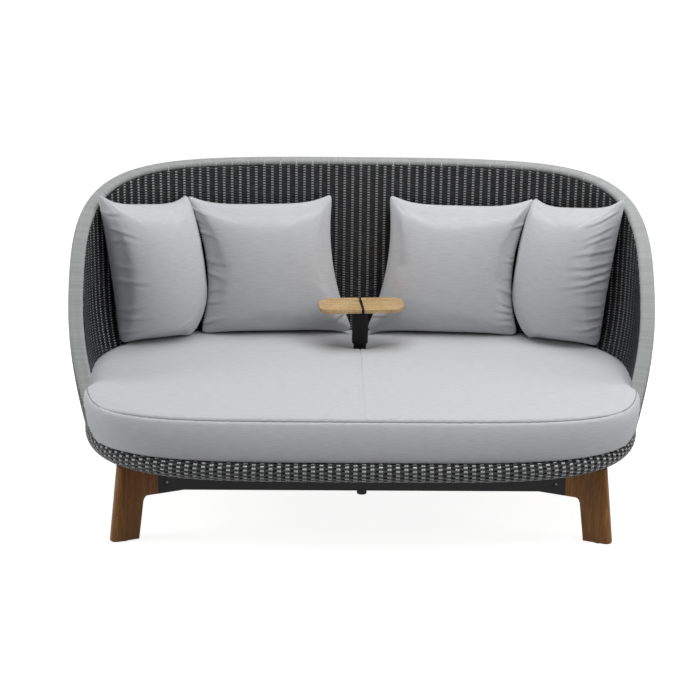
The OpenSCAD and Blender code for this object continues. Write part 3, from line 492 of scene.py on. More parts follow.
# It leaves the shell so far in front of a wing's edge, at its foot and at its top seam
WING_CLEAR = (0.027, -0.045)
WING_BLEND = 0.040
# Height, place and radius of the swell of a corner, and the half lengths of the crown's domes
CORNER_SWELL, SWELL_X, SWELL_Y, SWELL_R = 0.016, 0.90, -0.19, 0.10
CROWN_X, CROWN_Y = 1.05, 0.64
# Depths of the trough at the post, of the two pulls round the hole and the slit, of the sewn
# line to the front, of the foam's waves and of the puckers beside the seam
TROUGH, TROUGH_Y = 0.011, 0.318
PULL_DEEP, PULL_WIDE = 0.030, 0.010
LINE_DIP = 0.0022
WAVE = 0.0012
PUCKER, PUCKER_EVERY = 0.0007, 0.031
# The seam is tight in the middle and free from here outwards
SEAM_FREE_X, SEAM_FADE = 0.76, 0.10


def wing_y(z):
    """Where the rim of a wing comes down to height z."""
    return BACK_Y - BAND_W / 2 - (WING_REACH - BAND_W / 2) * np.sqrt(np.maximum(0, (RIM_Z - z) / TIP_DROP))


def smooth(s):
    """0 below 0, 1 above 1, and 3s^2 - 2s^3 between."""
    s = np.clip(s, 0, 1)
    return s * s * (3 - 2 * s)


def bump(s):
    """A round bump: 1 at 0, falling as the exponential of -s^2."""
    return np.exp(-(s**2))


def seat_outline(q, z):
    """The cushion's outline at height z: along the shell's inner skin at the back and sides,
    and a superellipse of its own, bulging between its seams, in front of the wings."""
    q, z = np.broadcast_arrays(np.asarray(q, float), np.asarray(z, float))
    f = np.clip((z - SEAT_BASE) / BOXING, 0, 1)
    limit = shell(q, z, -SKIN_OUT - mix(SEAT_GAP, 0.001, smooth((f - 0.7) / 0.3)))
    bulge = np.sin(np.clip(math.pi * f, 0, math.pi)) ** 0.45
    reach = SEAT_REACH - REACH_LEAN * f + REACH_BULGE * bulge
    free_y = WIDE_Y - reach * quarter(2 - abs(q), mix(4.3, 6, f), 3.0)[1]
    y = mix(limit[..., 1], free_y, smooth((abs(q) - 1.25) / 0.35))
    s = np.clip((WIDE_Y - y) / reach, 0, 1)
    half = SEAT_HALF - HALF_LEAN * f**2 + HALF_BULGE * bulge
    free_x = half * (1 - s ** mix(3, 4, f**2)) ** (1 / mix(4.3, 5, f))
    edge_y = np.minimum(wing_y(z), WIDE_Y) - mix(*WING_CLEAR, smooth((f - 0.6) / 0.4))
    x = mix(limit[..., 0], np.sign(q) * free_x, smooth((edge_y - y) / WING_BLEND))
    back = abs(q) <= 1
    return np.where(back, limit[..., 0], x), np.where(back, limit[..., 1], y)


def dome(s):
    """A flat dome: 1 at 0, falling as the root of 1 - s^4 to 0 at 1."""
    return np.sqrt(1 - np.minimum(1, abs(s)) ** 4)


def crown_top(x, y):
    """Height of the crowned top: a dome across it times a dome along it."""
    return SEAT_SEAM + CROWN * dome(x / CROWN_X) * dome((y - SEAT_MID) / CROWN_Y)


def seat_edge(z, places):
    """The outline at height z as points at even shares of the way from the slit, over the
    left side, the front and the right side, back to the slit, and the length of that way."""
    q = np.linspace(0.0005, 2, 3001)
    x, y = seat_outline(q, z)
    start = np.interp(SLIT_W / 2, x[:400], np.arange(400))
    cut = np.r_[start, np.arange(int(start) + 1, len(q))]
    x, y = np.interp(cut, np.arange(len(q)), x), np.interp(cut, np.arange(len(q)), y)
    run = np.r_[0, np.cumsum(np.hypot(np.diff(x), np.diff(y)))]
    at = run[-1] * (1 - abs(places))
    return np.stack([np.sign(places) * np.interp(at, run, x), np.interp(at, run, y)], -1), run[-1]


def corner_lift(x, y):
    """How far the corners in front of the wings swell up over the end of the rim."""
    return CORNER_SWELL * bump((abs(x) - SWELL_X) / SWELL_R) * bump((y - SWELL_Y) / SWELL_R)


def seat_height(x, y):
    """The top with its softer forms: a shallow trough across it at the post, a drop beside the
    hole and the slit, the sewn groove from the post to the front, and slow swells of foam."""
    behind = y > POST_Y
    slit = np.where(behind, abs(x) - SLIT_W / 2, np.hypot(x, y - POST_Y) - HOLE_R)
    hole = np.abs(np.hypot(x, y - POST_Y) - HOLE_R)
    gap = np.maximum(0, np.minimum(slit, hole))
    trough = TROUGH * bump(x / 0.16) * bump((y - TROUGH_Y) / 0.042)
    pull = PULL_DEEP * np.where(behind, 1, 0.25) * np.exp(-gap / 0.022) + PULL_WIDE * np.exp(-gap / 0.06)
    line = WELT * bump((abs(x) - 0.007) / 0.004) - LINE_DIP * bump(x / 0.003)
    line = line * smooth((POST_Y - y) / 0.05)
    waves = np.sin(7.1 * x + 2.3 * y + 0.6) * np.cos(8.3 * y - 3.1 * x)
    waves = waves + np.sin(13 * x - 9 * y + 1.9) / 2
    return crown_top(x, y) - trough - pull + line + WAVE * waves


def hole_points(outline):
    """A point on the hole's edge for each point of the outline: its angle grows with that of
    the outline's point, from the slit's side to straight in front."""
    phi = np.arctan2(outline[:, 0], outline[:, 1] - POST_Y)
    first = math.asin(SLIT_W / 2 / HOLE_R)
    turn = np.sign(phi) * (first + (abs(phi) - abs(phi[0])) * (math.pi - first) / (math.pi - abs(phi[0])))
    turn[len(turn) // 2] = math.pi
    return np.stack([HOLE_R * np.sin(turn), POST_Y + HOLE_R * np.cos(turn)], -1)


def seat_panels(outline, run, tight):
    """Top and underside as grids of straight lines from the outline to the hole. The top rises
    from the seam, faster where it is tight, with a groove, a low welt and puckers beside it.
    run is each point's way along the seam. Also returns how far the seam lies below SEAT_SEAM."""
    hole = hole_points(outline)
    reach = np.linalg.norm(outline - hole, axis=1)[:, None]
    middle = np.linspace(0, 1, SEAT_ROWS)[1:-1]
    away = np.concatenate([
        np.tile(NEAR_OUTLINE, (len(outline), 1)),
        NEAR_OUTLINE[-1] + middle * (reach - NEAR_OUTLINE[-1] - NEAR_HOLE[0]),
        reach - NEAR_HOLE,
    ], axis=1).T
    share = (away / reach.T)[..., None]
    xy = outline * (1 - share) + hole * share
    x, y = xy[..., 0], xy[..., 1]
    rise = 1 - (1 - np.clip(away / NEAR_OUTLINE[-1], 0, 1)) ** 2
    rise = mix(rise, np.sqrt(rise), tight)
    gather = np.sin(2 * math.pi * run / PUCKER_EVERY + 1.3 * np.sin(run * 11))
    pucker = PUCKER * gather * np.exp(-away / 0.018)
    stitch = WELT * bump((away - 0.0075) / 0.0045) - SEAM_DIP * bump(away / SEAM_HALF_W)
    stitch = stitch * tight
    z = mix(SEAT_SEAM, seat_height(x, y), rise) + stitch + pucker + corner_lift(x, y)
    under = np.stack([x, y, np.full_like(x, SEAT_BASE)], -1)
    tuck = 0.003 * np.exp(-away[..., None] / 0.020)
    under[..., :2] += (np.array([0, SEAT_MID]) - under[..., :2]) * tuck
    return np.stack([x, y, z], -1), under, stitch[0, 0]


def boxing_ring(f, places, tight, seam_lift, swell):
    """The boxing at a share f of its height: the outline there, with the seam's groove and a
    low welt near its top. It swells up with the corners as the square of f."""
    edge = seat_edge(SEAT_BASE + BOXING * f, places)[0]
    drop = BOXING * (1 - f)
    inward = SEAM_DIP * bump(drop / SEAM_HALF_W) - WELT * 0.7 * bump((drop - 0.007) / 0.004)
    edge *= 1 - (inward * tight / 0.9)[:, None]
    return np.column_stack([edge, SEAT_BASE + BOXING * f + seam_lift + swell * f**2])


def seat_cover(name):
    """The cover: a top, an underside, and walls that join them round the outside, through the
    slit and in the hole. The seam fades out on the corners, where the rim presses on them."""
    c = np.linspace(0, 1, SEAT_COLUMNS)
    half = mix(c, c**3, 0.42)
    places = np.r_[-half[:0:-1], half]
    outline, length = seat_edge(SEAT_SEAM, places)
    tight = 1 - smooth((abs(outline[:, 0]) - SEAM_FREE_X) / SEAM_FADE)
    top, under, seam_lift = seat_panels(outline, places * length, tight)
    rows, count = top.shape[:2]
    size = rows * count
    # Point numbers once round the top: the outline, one side of the slit, the hole, the other
    loop = np.concatenate([
        np.arange(count), np.arange(1, rows) * count + count - 1,
        (rows - 1) * count + np.arange(count - 2, -1, -1), np.arange(rows - 2, 0, -1) * count,
    ])
    top, under = top.reshape(-1, 3), under.reshape(-1, 3)
    rings = [mix(under[loop], top[loop], f) for f in LEVELS]
    swell = corner_lift(outline[:, 0], outline[:, 1])
    for ring, f in zip(rings, LEVELS):
        ring[:count] = boxing_ring(f, places, tight, seam_lift, swell)
    ring_ids = [2 * size + i * len(loop) + np.arange(len(loop)) for i in range(len(LEVELS))]
    ring_ids = [loop + size, *ring_ids, loop]
    wall_quads = np.concatenate([
        np.stack([a, np.roll(a, -1), np.roll(b, -1), b], -1) for a, b in zip(ring_ids, ring_ids[1:])
    ])
    along = np.r_[places * length, np.linspace(0.5, 1, len(loop) - count)]
    wall_uv = [np.stack([along, np.full(len(loop), BOXING * f)], -1) for f in LEVELS]
    uv = np.concatenate([top[:, :2], under[:, :2], *wall_uv])
    quads = [grid_faces(rows, count)[:, ::-1], grid_faces(rows, count, start=size), wall_quads]
    return make_piece(name, np.concatenate([top, under, *rings]), np.concatenate(quads), uv=uv)


# Solution-dyed acrylic in plain weave: matt, with a soft bloom and thicker stretches of thread
# about 36 mm long. Its threads are 0.8 mm apart and drawn 2 mm apart, so that they show.
# A wave texture of scale 1 repeats after WAVE_LENGTH.
THREAD = 0.002
WAVE_LENGTH = 0.314
fabric_finish, tree, body = new_finish(
    "woven_acrylic_cover", Roughness=0.9, IOR=1.45, Sheen_Weight=0.12, Sheen_Roughness=0.5
)
uv = add(tree, "ShaderNodeUVMap", uv_map="UVMap")
stretch = add(tree, "ShaderNodeMapping", {"Vector": uv.outputs[0], "Scale": (28, 420, 1)})
slub = add(tree, "ShaderNodeTexNoise", {"Vector": stretch.outputs[0], "Scale": 1, "Detail": 3})
tone = ramp(tree, slub.outputs[0], [(0.3, "#b9babd"), (0.5, "#c1c2c5"), (0.7, "#c8c9cb")])
tree.links.new(tone, body.inputs["Base Color"])
waves = {"Vector": uv.outputs[0], "Scale": WAVE_LENGTH / THREAD}
warp, weft = (add(tree, "ShaderNodeTexWave", waves, bands_direction=axis).outputs[1] for axis in "XY")
cross = add(tree, "ShaderNodeMath", {0: warp, 1: weft}, operation="MULTIPLY")
emboss(tree, body, cross.outputs[0], 0.25, 0.0004)

seat = seat_cover("seat_cover")
dress(seat, fabric_finish, "seat", "seat_cushion")

# Scatter cushions: two squares of the same cloth, sewn round their edge and loosely stuffed
# with fibre. They stand on the seat and lean on the shell, the outer pair in its corners.
SCATTER_H = 0.498
CELLS = 72
# Shares by which the middle of the top and of the foot are drawn in and the corners rounded,
# and how much the sewn edge adds to the height and to the width on each side
TOP_DRAW = 0.16
FOOT_DRAW = 0.05
CORNER = 0.060
GROWN = 0.022
SLACK = 1.035
FILL_FRAMES = 20
# How far the filling may move a point of the front, the back and the seam
FRONT_CAP = 0.013
BACK_CAP = 0.003
SEAM_CAP = 0.003
CLEAR = 0.0003
# The two forms, on the right: foot and top give the seam's x, y, width and turn in degrees at
# its two ends, front and back how far the panels puff out, draws how far the inner and the outer
# side draw in, rise how much higher the outer top corner is, and tuck how far a foot draws in.
INNER = dict(
    foot=(0.298, BACK_Y - 0.132, 0.520, -4), top=(0.362, BACK_Y - 0.098, 0.488, -4),
    front=0.085, back=0.040, draws=(0.140, 0.19), rise=0.0, tuck=0.0,
)
OUTER = dict(
    foot=(0.698, BACK_Y - 0.210, 0.290, -21), top=(0.762, BACK_Y - 0.230, 0.344, -41),
    front=0.112, back=0.024, draws=(-0.085, 0.06), rise=0.060, tuck=0.40,
)
# Creases in the front panels: u and v of the start, u and v of the end, and the
# depth in mm
CREASES = {
    "inner_left": [
        (0.97, 0.80, 0.72, 0.74, 4.5), (0.99, 0.62, 0.80, 0.60, 3.2), (0.98, 0.43, 0.60, 0.38, 7.2),
        (0.97, 0.07, 0.40, 0.04, 5.2), (0.97, -0.14, 0.52, -0.20, 5.9), (0.97, -0.36, 0.55, -0.38, 3.2),
        (0.97, -0.52, 0.50, -0.50, 3.9), (0.96, -0.86, 0.50, -0.70, 7.8), (-0.96, -0.74, -0.72, -0.84, 4.5),
        (-0.96, -0.60, -0.78, -0.64, 3.2),
    ],
    "outer_left": [
        (0.95, 0.72, 0.78, 0.80, 4.5), (0.97, 0.50, 0.45, 0.46, 5.2), (0.97, 0.36, 0.55, 0.36, 3.9),
        (0.97, 0.06, 0.50, 0.04, 3.9), (0.97, -0.16, 0.25, -0.12, 7.2), (0.95, -0.50, 0.25, -0.44, 5.2),
        (0.97, -0.60, 0.20, -0.62, 6.5), (0.95, -0.84, 0.45, -0.78, 8.5), (0.90, -0.94, 0.55, -0.92, 5.2),
        (-0.55, -0.72, 0.15, -0.94, 4.5),
    ],
    "inner_right": [
        (0.97, 0.56, 0.66, 0.60, 5.2), (0.97, 0.16, 0.76, 0.19, 3.9), (0.97, 0.08, 0.70, 0.12, 3.9),
        (0.97, -0.20, 0.72, -0.14, 3.2), (0.97, -0.38, 0.62, -0.28, 5.9), (0.97, -0.54, 0.62, -0.46, 4.5),
        (0.96, -0.64, 0.58, -0.58, 5.9), (0.96, -0.76, 0.60, -0.72, 5.2), (0.94, -0.88, 0.62, -0.86, 5.9),
        (-0.97, -0.78, -0.74, -0.72, 3.2),
    ],
    "outer_right": [
        (0.92, 0.80, 0.40, 0.62, 5.2), (0.96, 0.58, 0.35, 0.46, 3.9), (0.96, 0.46, 0.40, 0.36, 4.5),
        (0.97, 0.30, 0.25, 0.22, 5.9), (0.97, 0.14, 0.15, 0.08, 6.5), (0.97, 0.02, 0.20, -0.02, 6.5),
        (0.97, -0.10, 0.05, -0.16, 7.2), (0.97, -0.24, 0.35, -0.22, 4.5), (0.97, -0.42, 0.30, -0.42, 5.2),
        (0.97, -0.58, 0.35, -0.60, 5.2), (0.95, -0.72, 0.20, -0.76, 7.8), (0.93, -0.86, 0.30, -0.84, 5.9),
    ],
}


def scatter_points(form, u, v, side):
    """A puffed slab on a slanted, twisted seam: u runs across and v up, from -1 to 1. Between
    rounded corners the sides draw in as 1 - v^2 and the top as 1 - u^4, and the thickness goes
    as the product of 1 - u^2 and 1 - v^2, to the power 0.45. A tuck draws in one foot corner."""
    rounded = 1 - CORNER * abs(u * v) ** 14
    draw = np.where(u < 0, *form["draws"])
    run = u * rounded * (1 - draw * (1 - v**2) * u**2)
    run = np.where(u < 0, run * (1 - form["tuck"] * np.clip(-v - 0.3, 0, 1) ** 2 / 0.49), run)
    rise = v * rounded * (1 - np.where(v > 0, TOP_DRAW, FOOT_DRAW) * (1 - u**4) * v**2)
    foot, top = np.array(form["foot"]), np.array(form["top"])
    at = foot + (top - foot) * ((rise + 1) / 2)[..., None]
    puff = np.maximum(0, (1 - u**2) * (1 - v**2)) ** 0.45
    t = side * form["front" if side < 0 else "back"] * puff
    turn = np.radians(at[..., 3])
    half = at[..., 2] / 2 + GROWN
    x = at[..., 0] + np.cos(turn) * half * run - np.sin(turn) * t
    y = at[..., 1] + np.sin(turn) * half * run + np.cos(turn) * t
    outer_rise = form["rise"] * (1 + run) / 2 * np.maximum(0, (1 + rise) / 2)
    return np.stack([x, y, (SCATTER_H + GROWN) / 2 * (1 + rise) + outer_rise], -1)


def scatter_cover(name, form, mirrored):
    """Front and back panels on one seam, with a place on the cut cloth as each point's UV, and
    u, v and 1 for the front, 0 for the back, as its panel attribute."""
    steps = np.linspace(-1, 1, CELLS + 1)
    a, b = np.meshgrid(steps, steps)
    u, v = np.sin(math.pi / 2 * a), np.sin(math.pi / 2 * b)
    front, back = scatter_points(form, u, v, -1), scatter_points(form, u, v, 1)
    n = len(steps)
    inside = (slice(1, -1), slice(1, -1))
    points = np.concatenate([front.reshape(-1, 3), back[inside].reshape(-1, 3)])
    # It stands where its foot first meets the seat
    foot = np.concatenate([front[0], back[0]])
    points[:, 2] += (crown_top(foot[:, 0], foot[:, 1]) - foot[:, 2]).max() + CLEAR
    ids = np.arange(n * n).reshape(n, n)
    ids[inside] = n * n + np.arange((n - 2) ** 2).reshape(n - 2, n - 2)
    behind = np.stack([ids[:-1, :-1], ids[1:, :-1], ids[1:, 1:], ids[:-1, 1:]], -1).reshape(-1, 4)
    # The cloth is cut to the panel's length each way, and 4 % wider in the middle
    width = np.linalg.norm(np.diff(front, axis=1), axis=-1).sum(1)[:, None] * (1 + 0.04 * (1 - b**2))
    height = np.linalg.norm(np.diff(front, axis=0), axis=-1).sum(0).max()
    cut = np.stack([a / 2 * np.maximum(width, width[n // 2] * 0.9), b / 2 * height, 0 * a], -1) * SLACK
    cut = np.concatenate([cut.reshape(-1, 3), cut[inside].reshape(-1, 3)])
    front_panel, back_panel = np.stack([u, v, 0 * u + 1], -1), np.stack([u, v, 0 * u], -1)
    panel = np.concatenate([front_panel.reshape(-1, 3), back_panel[inside].reshape(-1, 3)])
    if mirrored:
        points[:, 0] *= -1
        cut[:, 0] *= -1
    cover = make_piece(name, points, np.concatenate([grid_faces(n, n), behind]), uv=cut[:, :2])
    cover.data.attributes.new("panel", "FLOAT_VECTOR", "POINT").data.foreach_set("vector", panel.ravel())
    return cover, cut


def vectors(elements, key):
    """One vector of each of a mesh's elements, as the rows of an array."""
    values = np.zeros(len(elements) * 3)
    elements.foreach_get(key, values)
    return values.reshape(-1, 3)


def fill_cover(cover, cut, cap):
    """Fills a sewn cover: a cloth simulation with pressure inside and no gravity, whose cloth
    at rest is the flat cut panels. A point's move then fades out towards its cap."""
    start = vectors(cover.data.vertices, "co")
    cover.shape_key_add(name="Basis")
    key = cover.shape_key_add(name="cut")
    key.data.foreach_set("co", cut.ravel())
    key.value = 0
    cloth = cover.modifiers.new("filling", "CLOTH")
    cloth.settings.rest_shape_key = key
    cloth.settings.quality = 5
    cloth.settings.mass = 0.25
    cloth.settings.tension_stiffness = 25
    cloth.settings.compression_stiffness = 25
    cloth.settings.shear_stiffness = 8
    cloth.settings.bending_stiffness = 0.12
    cloth.settings.use_pressure = True
    cloth.settings.uniform_pressure_force = 4
    cloth.settings.effector_weights.gravity = 0
    cloth.point_cache.frame_end = FILL_FRAMES
    for moment in range(1, FILL_FRAMES + 1):
        scene.frame_set(moment)
    filled = cover.evaluated_get(bpy.context.evaluated_depsgraph_get())
    move = vectors(filled.data.vertices, "co") - start
    cover.modifiers.remove(cloth)
    cover.shape_key_clear()
    scene.frame_set(1)
    size = np.linalg.norm(move, axis=1, keepdims=True) + 1e-9
    cover.data.vertices.foreach_set("co", (start + move / size * cap * np.tanh(size / cap)).ravel())
    cover.data.update()


def refined(piece, seam):
    """Puts one level of subdivision into a piece's mesh, which keeps the seam's edges sharp.
    seam tells for each point whether it is on the seam."""
    mesh = piece.data
    ends = np.zeros(len(mesh.edges) * 2, int)
    mesh.edges.foreach_get("vertices", ends)
    sharp = seam[ends].reshape(-1, 2).all(1).astype(float)
    mesh.attributes.new("crease_edge", "FLOAT", "EDGE").data.foreach_set("value", sharp)
    piece.modifiers.new("refining", "SUBSURF").levels = 1
    mesh = bpy.data.meshes.new_from_object(piece.evaluated_get(bpy.context.evaluated_depsgraph_get()))
    piece.modifiers.clear()
    mesh.name, piece.data = piece.data.name, mesh


def crease(cover, form, creases):
    """Presses creases into a front panel. Each is a valley 4 to 7 mm wide under a fold, bent in
    a slight wave, and fades from its start at the seam to its end."""
    mesh = cover.data
    points, normals = vectors(mesh.vertices, "co"), vectors(mesh.vertex_normals, "vector")
    u, v, facing = vectors(mesh.attributes["panel"].data, "vector").T
    half_w, half_h = form["foot"][2] / 2, SCATTER_H / 2
    across, up = u * half_w, v * half_h
    sink = np.zeros(len(points))
    for u0, v0, u1, v1, depth in creases:
        x0, y0, x1, y1 = u0 * half_w, v0 * half_h, u1 * half_w, v1 * half_h
        length = math.hypot(x1 - x0, y1 - y0)
        t = ((across - x0) * (x1 - x0) + (up - y0) * (y1 - y0)) / length**2
        above = ((across - x0) * (y1 - y0) - (up - y0) * (x1 - x0)) / length * (1 if x1 < x0 else -1)
        above += 0.005 * np.sin(t * 3 + 9 * v0)
        fade = smooth((t + 0.12) / 0.2) * np.maximum(0, 1 - np.maximum(0, t)) ** 1.3
        wide = 0.004 + 0.003 * np.clip(t, 0, 1)
        shape = 0.85 * bump((above - 1.9 * wide) / (1.6 * wide)) - bump(above / wide)
        sink += depth / 1000 * fade * shape
    points += normals * (sink * np.clip(facing * 2 - 1, 0, 1))[:, None]
    mesh.vertices.foreach_set("co", points.ravel())
    mesh.update()


for body_name, form, mirrored in (
    ("outer_left", OUTER, True),
    ("inner_left", INNER, True),
    ("inner_right", INNER, False),
    ("outer_right", OUTER, False),
):
    cover, cut = scatter_cover("scatter_cover_" + body_name, form, mirrored)
    u, v, facing = vectors(cover.data.attributes["panel"].data, "vector").T
    edge = np.maximum(abs(u), abs(v))
    cap = mix(SEAM_CAP, mix(BACK_CAP, FRONT_CAP, facing), smooth((1 - edge) / 0.2))
    fill_cover(cover, cut, (cap * (1 - 0.8 * abs(u * v) ** 6))[:, None])
    refined(cover, edge > 0.9999)
    crease(cover, form, CREASES[body_name])
    points = vectors(cover.data.vertices, "co")
    points[:, 2] = np.maximum(points[:, 2], crown_top(points[:, 0], points[:, 1]) + CLEAR)
    cover.data.vertices.foreach_set("co", points.ravel())
    dress(cover, fabric_finish, body_name, "scatter_" + body_name)

# Base and table metal: the folded beams, rails, risers and tubes that carry the shell and the
# deck, and the table's post and plate. All of it is steel with a fine-textured charcoal powder
# coat, whose 0.3 mm grit is drawn 1.5 mm coarse.
FOLD_R = 0.0012
POST_EDGE_R = 0.0010
PLATE_EDGE_R = 0.0008
PLAIN_METAL = (
    "rim_tubes", "shell_uprights", "seat_rail_tube", "deck_rails", "beam_risers", "center_spine",
    "spine_bolt", "post_nut",
)


def finish_node(name, finish):
    """Gives a node that stays as it is a finish."""
    nodes[name].data.materials.clear()
    nodes[name].data.materials.append(finish)


def softened(node, width, finish, body):
    """Stands a copy of a node with rounded edges in its place: the doubles are merged and the
    flat faces joined, so that the bevel finds the edges."""
    mesh = nodes[node].data.copy()
    mesh.materials.clear()
    work = bmesh.new()
    work.from_mesh(mesh)
    bmesh.ops.remove_doubles(work, verts=work.verts, dist=1e-5)
    bmesh.ops.dissolve_limit(work, angle_limit=math.radians(0.5), verts=work.verts, edges=work.edges)
    for face in work.faces:
        face.smooth = True
    work.to_mesh(mesh)
    work.free()
    piece = bpy.data.objects.new(node + "_finished", mesh)
    scene.collection.objects.link(piece)
    bevel = piece.modifiers.new("rounding", "BEVEL")
    bevel.width, bevel.segments, bevel.limit_method = width, 2, "ANGLE"
    bevel.angle_limit = math.radians(35)
    bevel.harden_normals = True
    dress(piece, finish, body, node)


metal_finish = mottled(
    "powder_coated_steel", 700, [(0.3, "#141516"), (0.7, "#1a1b1c")], detail=1, relief=(0.2, 0.0003),
    Roughness=0.6, IOR=1.5, Specular_IOR_Level=0.3,
)
for name in PLAIN_METAL:
    finish_node(name, metal_finish)
for name in ("front_beam", "rear_beam"):
    softened(name, FOLD_R, metal_finish, "frame")
softened("table_post", POST_EDGE_R, metal_finish, "frame")
softened("table_plate", PLATE_EDGE_R, metal_finish, "table")

# Fixings: satin stainless bolts that hold the legs to the beams, and screws that hold the
# risers and the table's leaves. They keep the shape of the CAD.
steel_finish = mottled(
    "satin_stainless_steel", 900, [(0.3, "#5c5d5e"), (0.7, "#6c6d6e")], detail=1,
    Roughness=0.35, Metallic=1.0,
)
for name in ("riser_screws", "leg_bolts", "table_screws"):
    finish_node(name, steel_finish)

# Glides under the feet, and the washer that the table turns on: moulded black nylon, slightly
# mottled. They keep the shape of the CAD.
nylon_finish = mottled(
    "moulded_nylon", 300, [(0.3, "#1a1a1b"), (0.7, "#222224")], Roughness=0.5, IOR=1.53
)
for name in ("foot_glides", "pivot_washer"):
    finish_node(name, nylon_finish)


def wood_finish(name, stretch, stops, rough):
    """Teak: growth bands as a noise stretched along the grain, dark pores as one seven times
    finer, and a relief from the pores. stretch is the noise's scale along each axis."""
    finish, tree, body = new_finish(name, Roughness=rough, IOR=1.5, Specular_IOR_Level=0.35)
    place = add(tree, "ShaderNodeTexCoord")
    long = add(tree, "ShaderNodeMapping", {"Vector": place.outputs["Object"], "Scale": stretch})
    noise = {"Vector": long.outputs[0], "Scale": 1, "Detail": 5, "Distortion": 0.6}
    bands = add(tree, "ShaderNodeTexNoise", noise)
    tone = ramp(tree, bands.outputs[0], stops)
    fine = add(tree, "ShaderNodeMapping", {"Vector": long.outputs[0], "Scale": (7, 7, 7)})
    pores = add(tree, "ShaderNodeTexNoise", {"Vector": fine.outputs[0], "Scale": 1, "Detail": 2})
    dark = ramp(tree, pores.outputs[0], [(0.34, "#d2c0aa"), (0.48, "#ffffff")])
    both = add(tree, "ShaderNodeMix", {0: 1.0, 6: tone, 7: dark}, data_type="RGBA", blend_type="MULTIPLY")
    tree.links.new(both.outputs[2], body.inputs["Base Color"])
    emboss(tree, body, pores.outputs[0], 0.3, 0.0004)
    return finish


# Legs and deck: planed solid teak, oiled, with the grain along each leg and each slat. Growth
# bands are about 10 mm wide and 140 mm long. The legs are bolted to the ends of the beams.
OILED = [(0.3, "#623e10"), (0.48, "#7a4e17"), (0.6, "#885a1d"), (0.75, "#9c6c27")]
LEG_EDGE_R = 0.0025
leg_finish = wood_finish("oiled_teak", (105, 105, 7), OILED, 0.5)
for name in ("leg_front_left", "leg_front_right", "leg_rear_left", "leg_rear_right"):
    softened(name, LEG_EDGE_R, leg_finish, "frame")
finish_node("deck_slats", wood_finish("oiled_teak_slats", (7, 105, 105), OILED, 0.5))

# Table leaves: two boards of fresh sanded teak, paler than the legs, with the grain running
# across both. They are screwed on from below, one on each side of the plate's strip.
SANDED = [(0.3, "#a88760"), (0.5, "#bda175"), (0.62, "#c7ae84"), (0.78, "#d2bd96")]
LEAF_EDGE_R = 0.0020
leaf_finish = wood_finish("sanded_teak", (9, 95, 95), SANDED, 0.55)
for name in ("leaf_left", "leaf_right"):
    softened(name, LEAF_EDGE_R, leaf_finish, "table")

# Stage: a pale floor that the camera and reflections see as white but for the object's shadow
FLOOR_HALF = 12
corners = [(x * FLOOR_HALF, y * FLOOR_HALF, 0) for x, y in ((-1, -1), (1, -1), (1, 1), (-1, 1))]
floor_mesh = bpy.data.meshes.new("floor")
floor_mesh.from_pydata(corners, [], [(0, 1, 2, 3)])
floor = bpy.data.objects.new("floor", floor_mesh)
scene.collection.objects.link(floor)
floor_finish, tree, body = new_finish("pale_floor", Roughness=0.9)
body.inputs["Base Color"].default_value = (0.52, 0.52, 0.52, 1)
ray = add(tree, "ShaderNodeLightPath").outputs
glow = add(tree, "ShaderNodeEmission", {"Color": (1, 1, 1, 1), "Strength": 0.89})
both = add(tree, "ShaderNodeAddShader", {0: body.outputs[0], 1: glow.outputs[0]})
seen = add(tree, "ShaderNodeMath", {0: ray["Is Camera Ray"], 1: ray["Is Glossy Ray"]}, operation="MAXIMUM")
choice = add(tree, "ShaderNodeMixShader", {0: seen.outputs[0], 1: body.outputs[0], 2: both.outputs[0]})
tree.links.new(choice.outputs[0], tree.nodes["Material Output"].inputs["Surface"])
floor.data.materials.append(floor_finish)

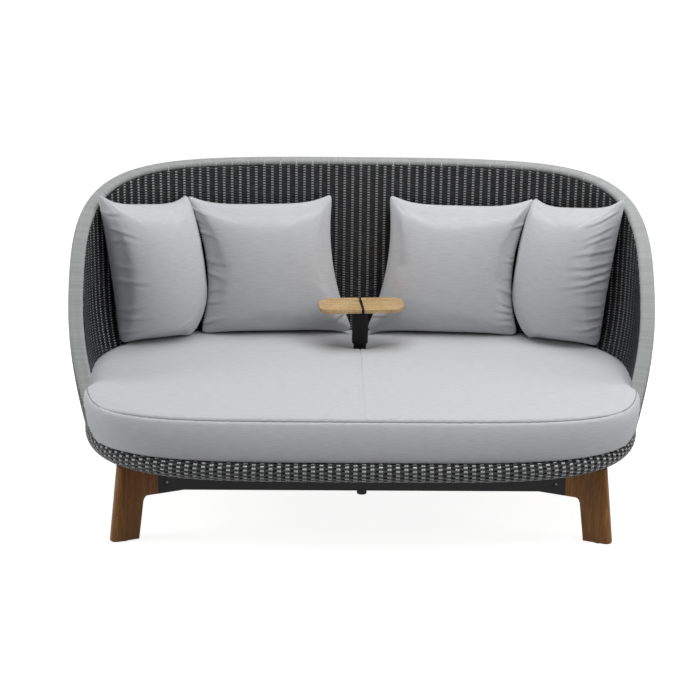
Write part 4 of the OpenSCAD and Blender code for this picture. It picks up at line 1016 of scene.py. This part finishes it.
# World: white behind the object, and a weaker white that lights it
world = bpy.data.worlds.new("studio")
scene.world = world
world.use_nodes = True
tree = world.node_tree
tree.nodes.clear()
ray = add(tree, "ShaderNodeLightPath").outputs
soft = add(tree, "ShaderNodeBackground", {"Color": (1, 1, 1, 1), "Strength": 0.23})
white = add(tree, "ShaderNodeBackground", {"Color": (1, 1, 1, 1), "Strength": 1.0})
choice = add(tree, "ShaderNodeMixShader", {0: ray["Is Camera Ray"], 1: soft.outputs[0], 2: white.outputs[0]})
add(tree, "ShaderNodeOutputWorld", {"Surface": choice.outputs[0]})


def lamp(name, place, aim, size, power):
    """A round soft box of a size in metres and a power in watts, turned to a point."""
    data = bpy.data.lights.new(name, "AREA")
    data.shape, data.size, data.energy = "DISK", size, power
    light = bpy.data.objects.new(name, data)
    scene.collection.objects.link(light)
    light.location = place
    light.rotation_euler = (Vector(aim) - Vector(place)).to_track_quat("-Z", "Y").to_euler()


lamp("key", (1.5, -1.0, 3.0), (0, 0.2, 0.6), 1.6, 31)
lamp("left", (-3.9, -0.6, 1.6), (0, 0, 0.5), 1.8, 44)
lamp("right", (3.9, -0.6, 1.6), (0, 0, 0.5), 1.8, 33)
lamp("top", (0, -0.2, 4.2), (0, 0, 0.5), 3.0, 84)

# Camera: where the photograph was taken from, as fitted to its outline. The lens and the shift
# are given in pixels of the photograph.
DISTANCE = 6.593
ELEVATION = math.radians(18.175)
YAW = math.radians(-1.35)
ROLL = math.radians(0.8)
TARGET_Z = 0.5447
FOCUS_PX = 1933
PHOTO_PX = 700
SHIFT_PX = (-11.7, 0.45)
SENSOR_MM = 36
camera_data = bpy.data.cameras.new("camera")
camera_data.sensor_width = SENSOR_MM
camera_data.lens = FOCUS_PX / PHOTO_PX * SENSOR_MM
camera_data.shift_x, camera_data.shift_y = (s / PHOTO_PX for s in SHIFT_PX)
camera_data.clip_end = 60
camera = bpy.data.objects.new("camera", camera_data)
scene.collection.objects.link(camera)
level = DISTANCE * math.cos(ELEVATION)
height = TARGET_Z + DISTANCE * math.sin(ELEVATION)
camera.location = (level * math.sin(YAW), -level * math.cos(YAW), height)
turned = Euler((math.pi / 2 - ELEVATION, 0, YAW)).to_matrix() @ Matrix.Rotation(ROLL, 3, "Z")
camera.rotation_euler = turned.to_euler()
scene.camera = camera
scene.view_settings.view_transform = "Standard"
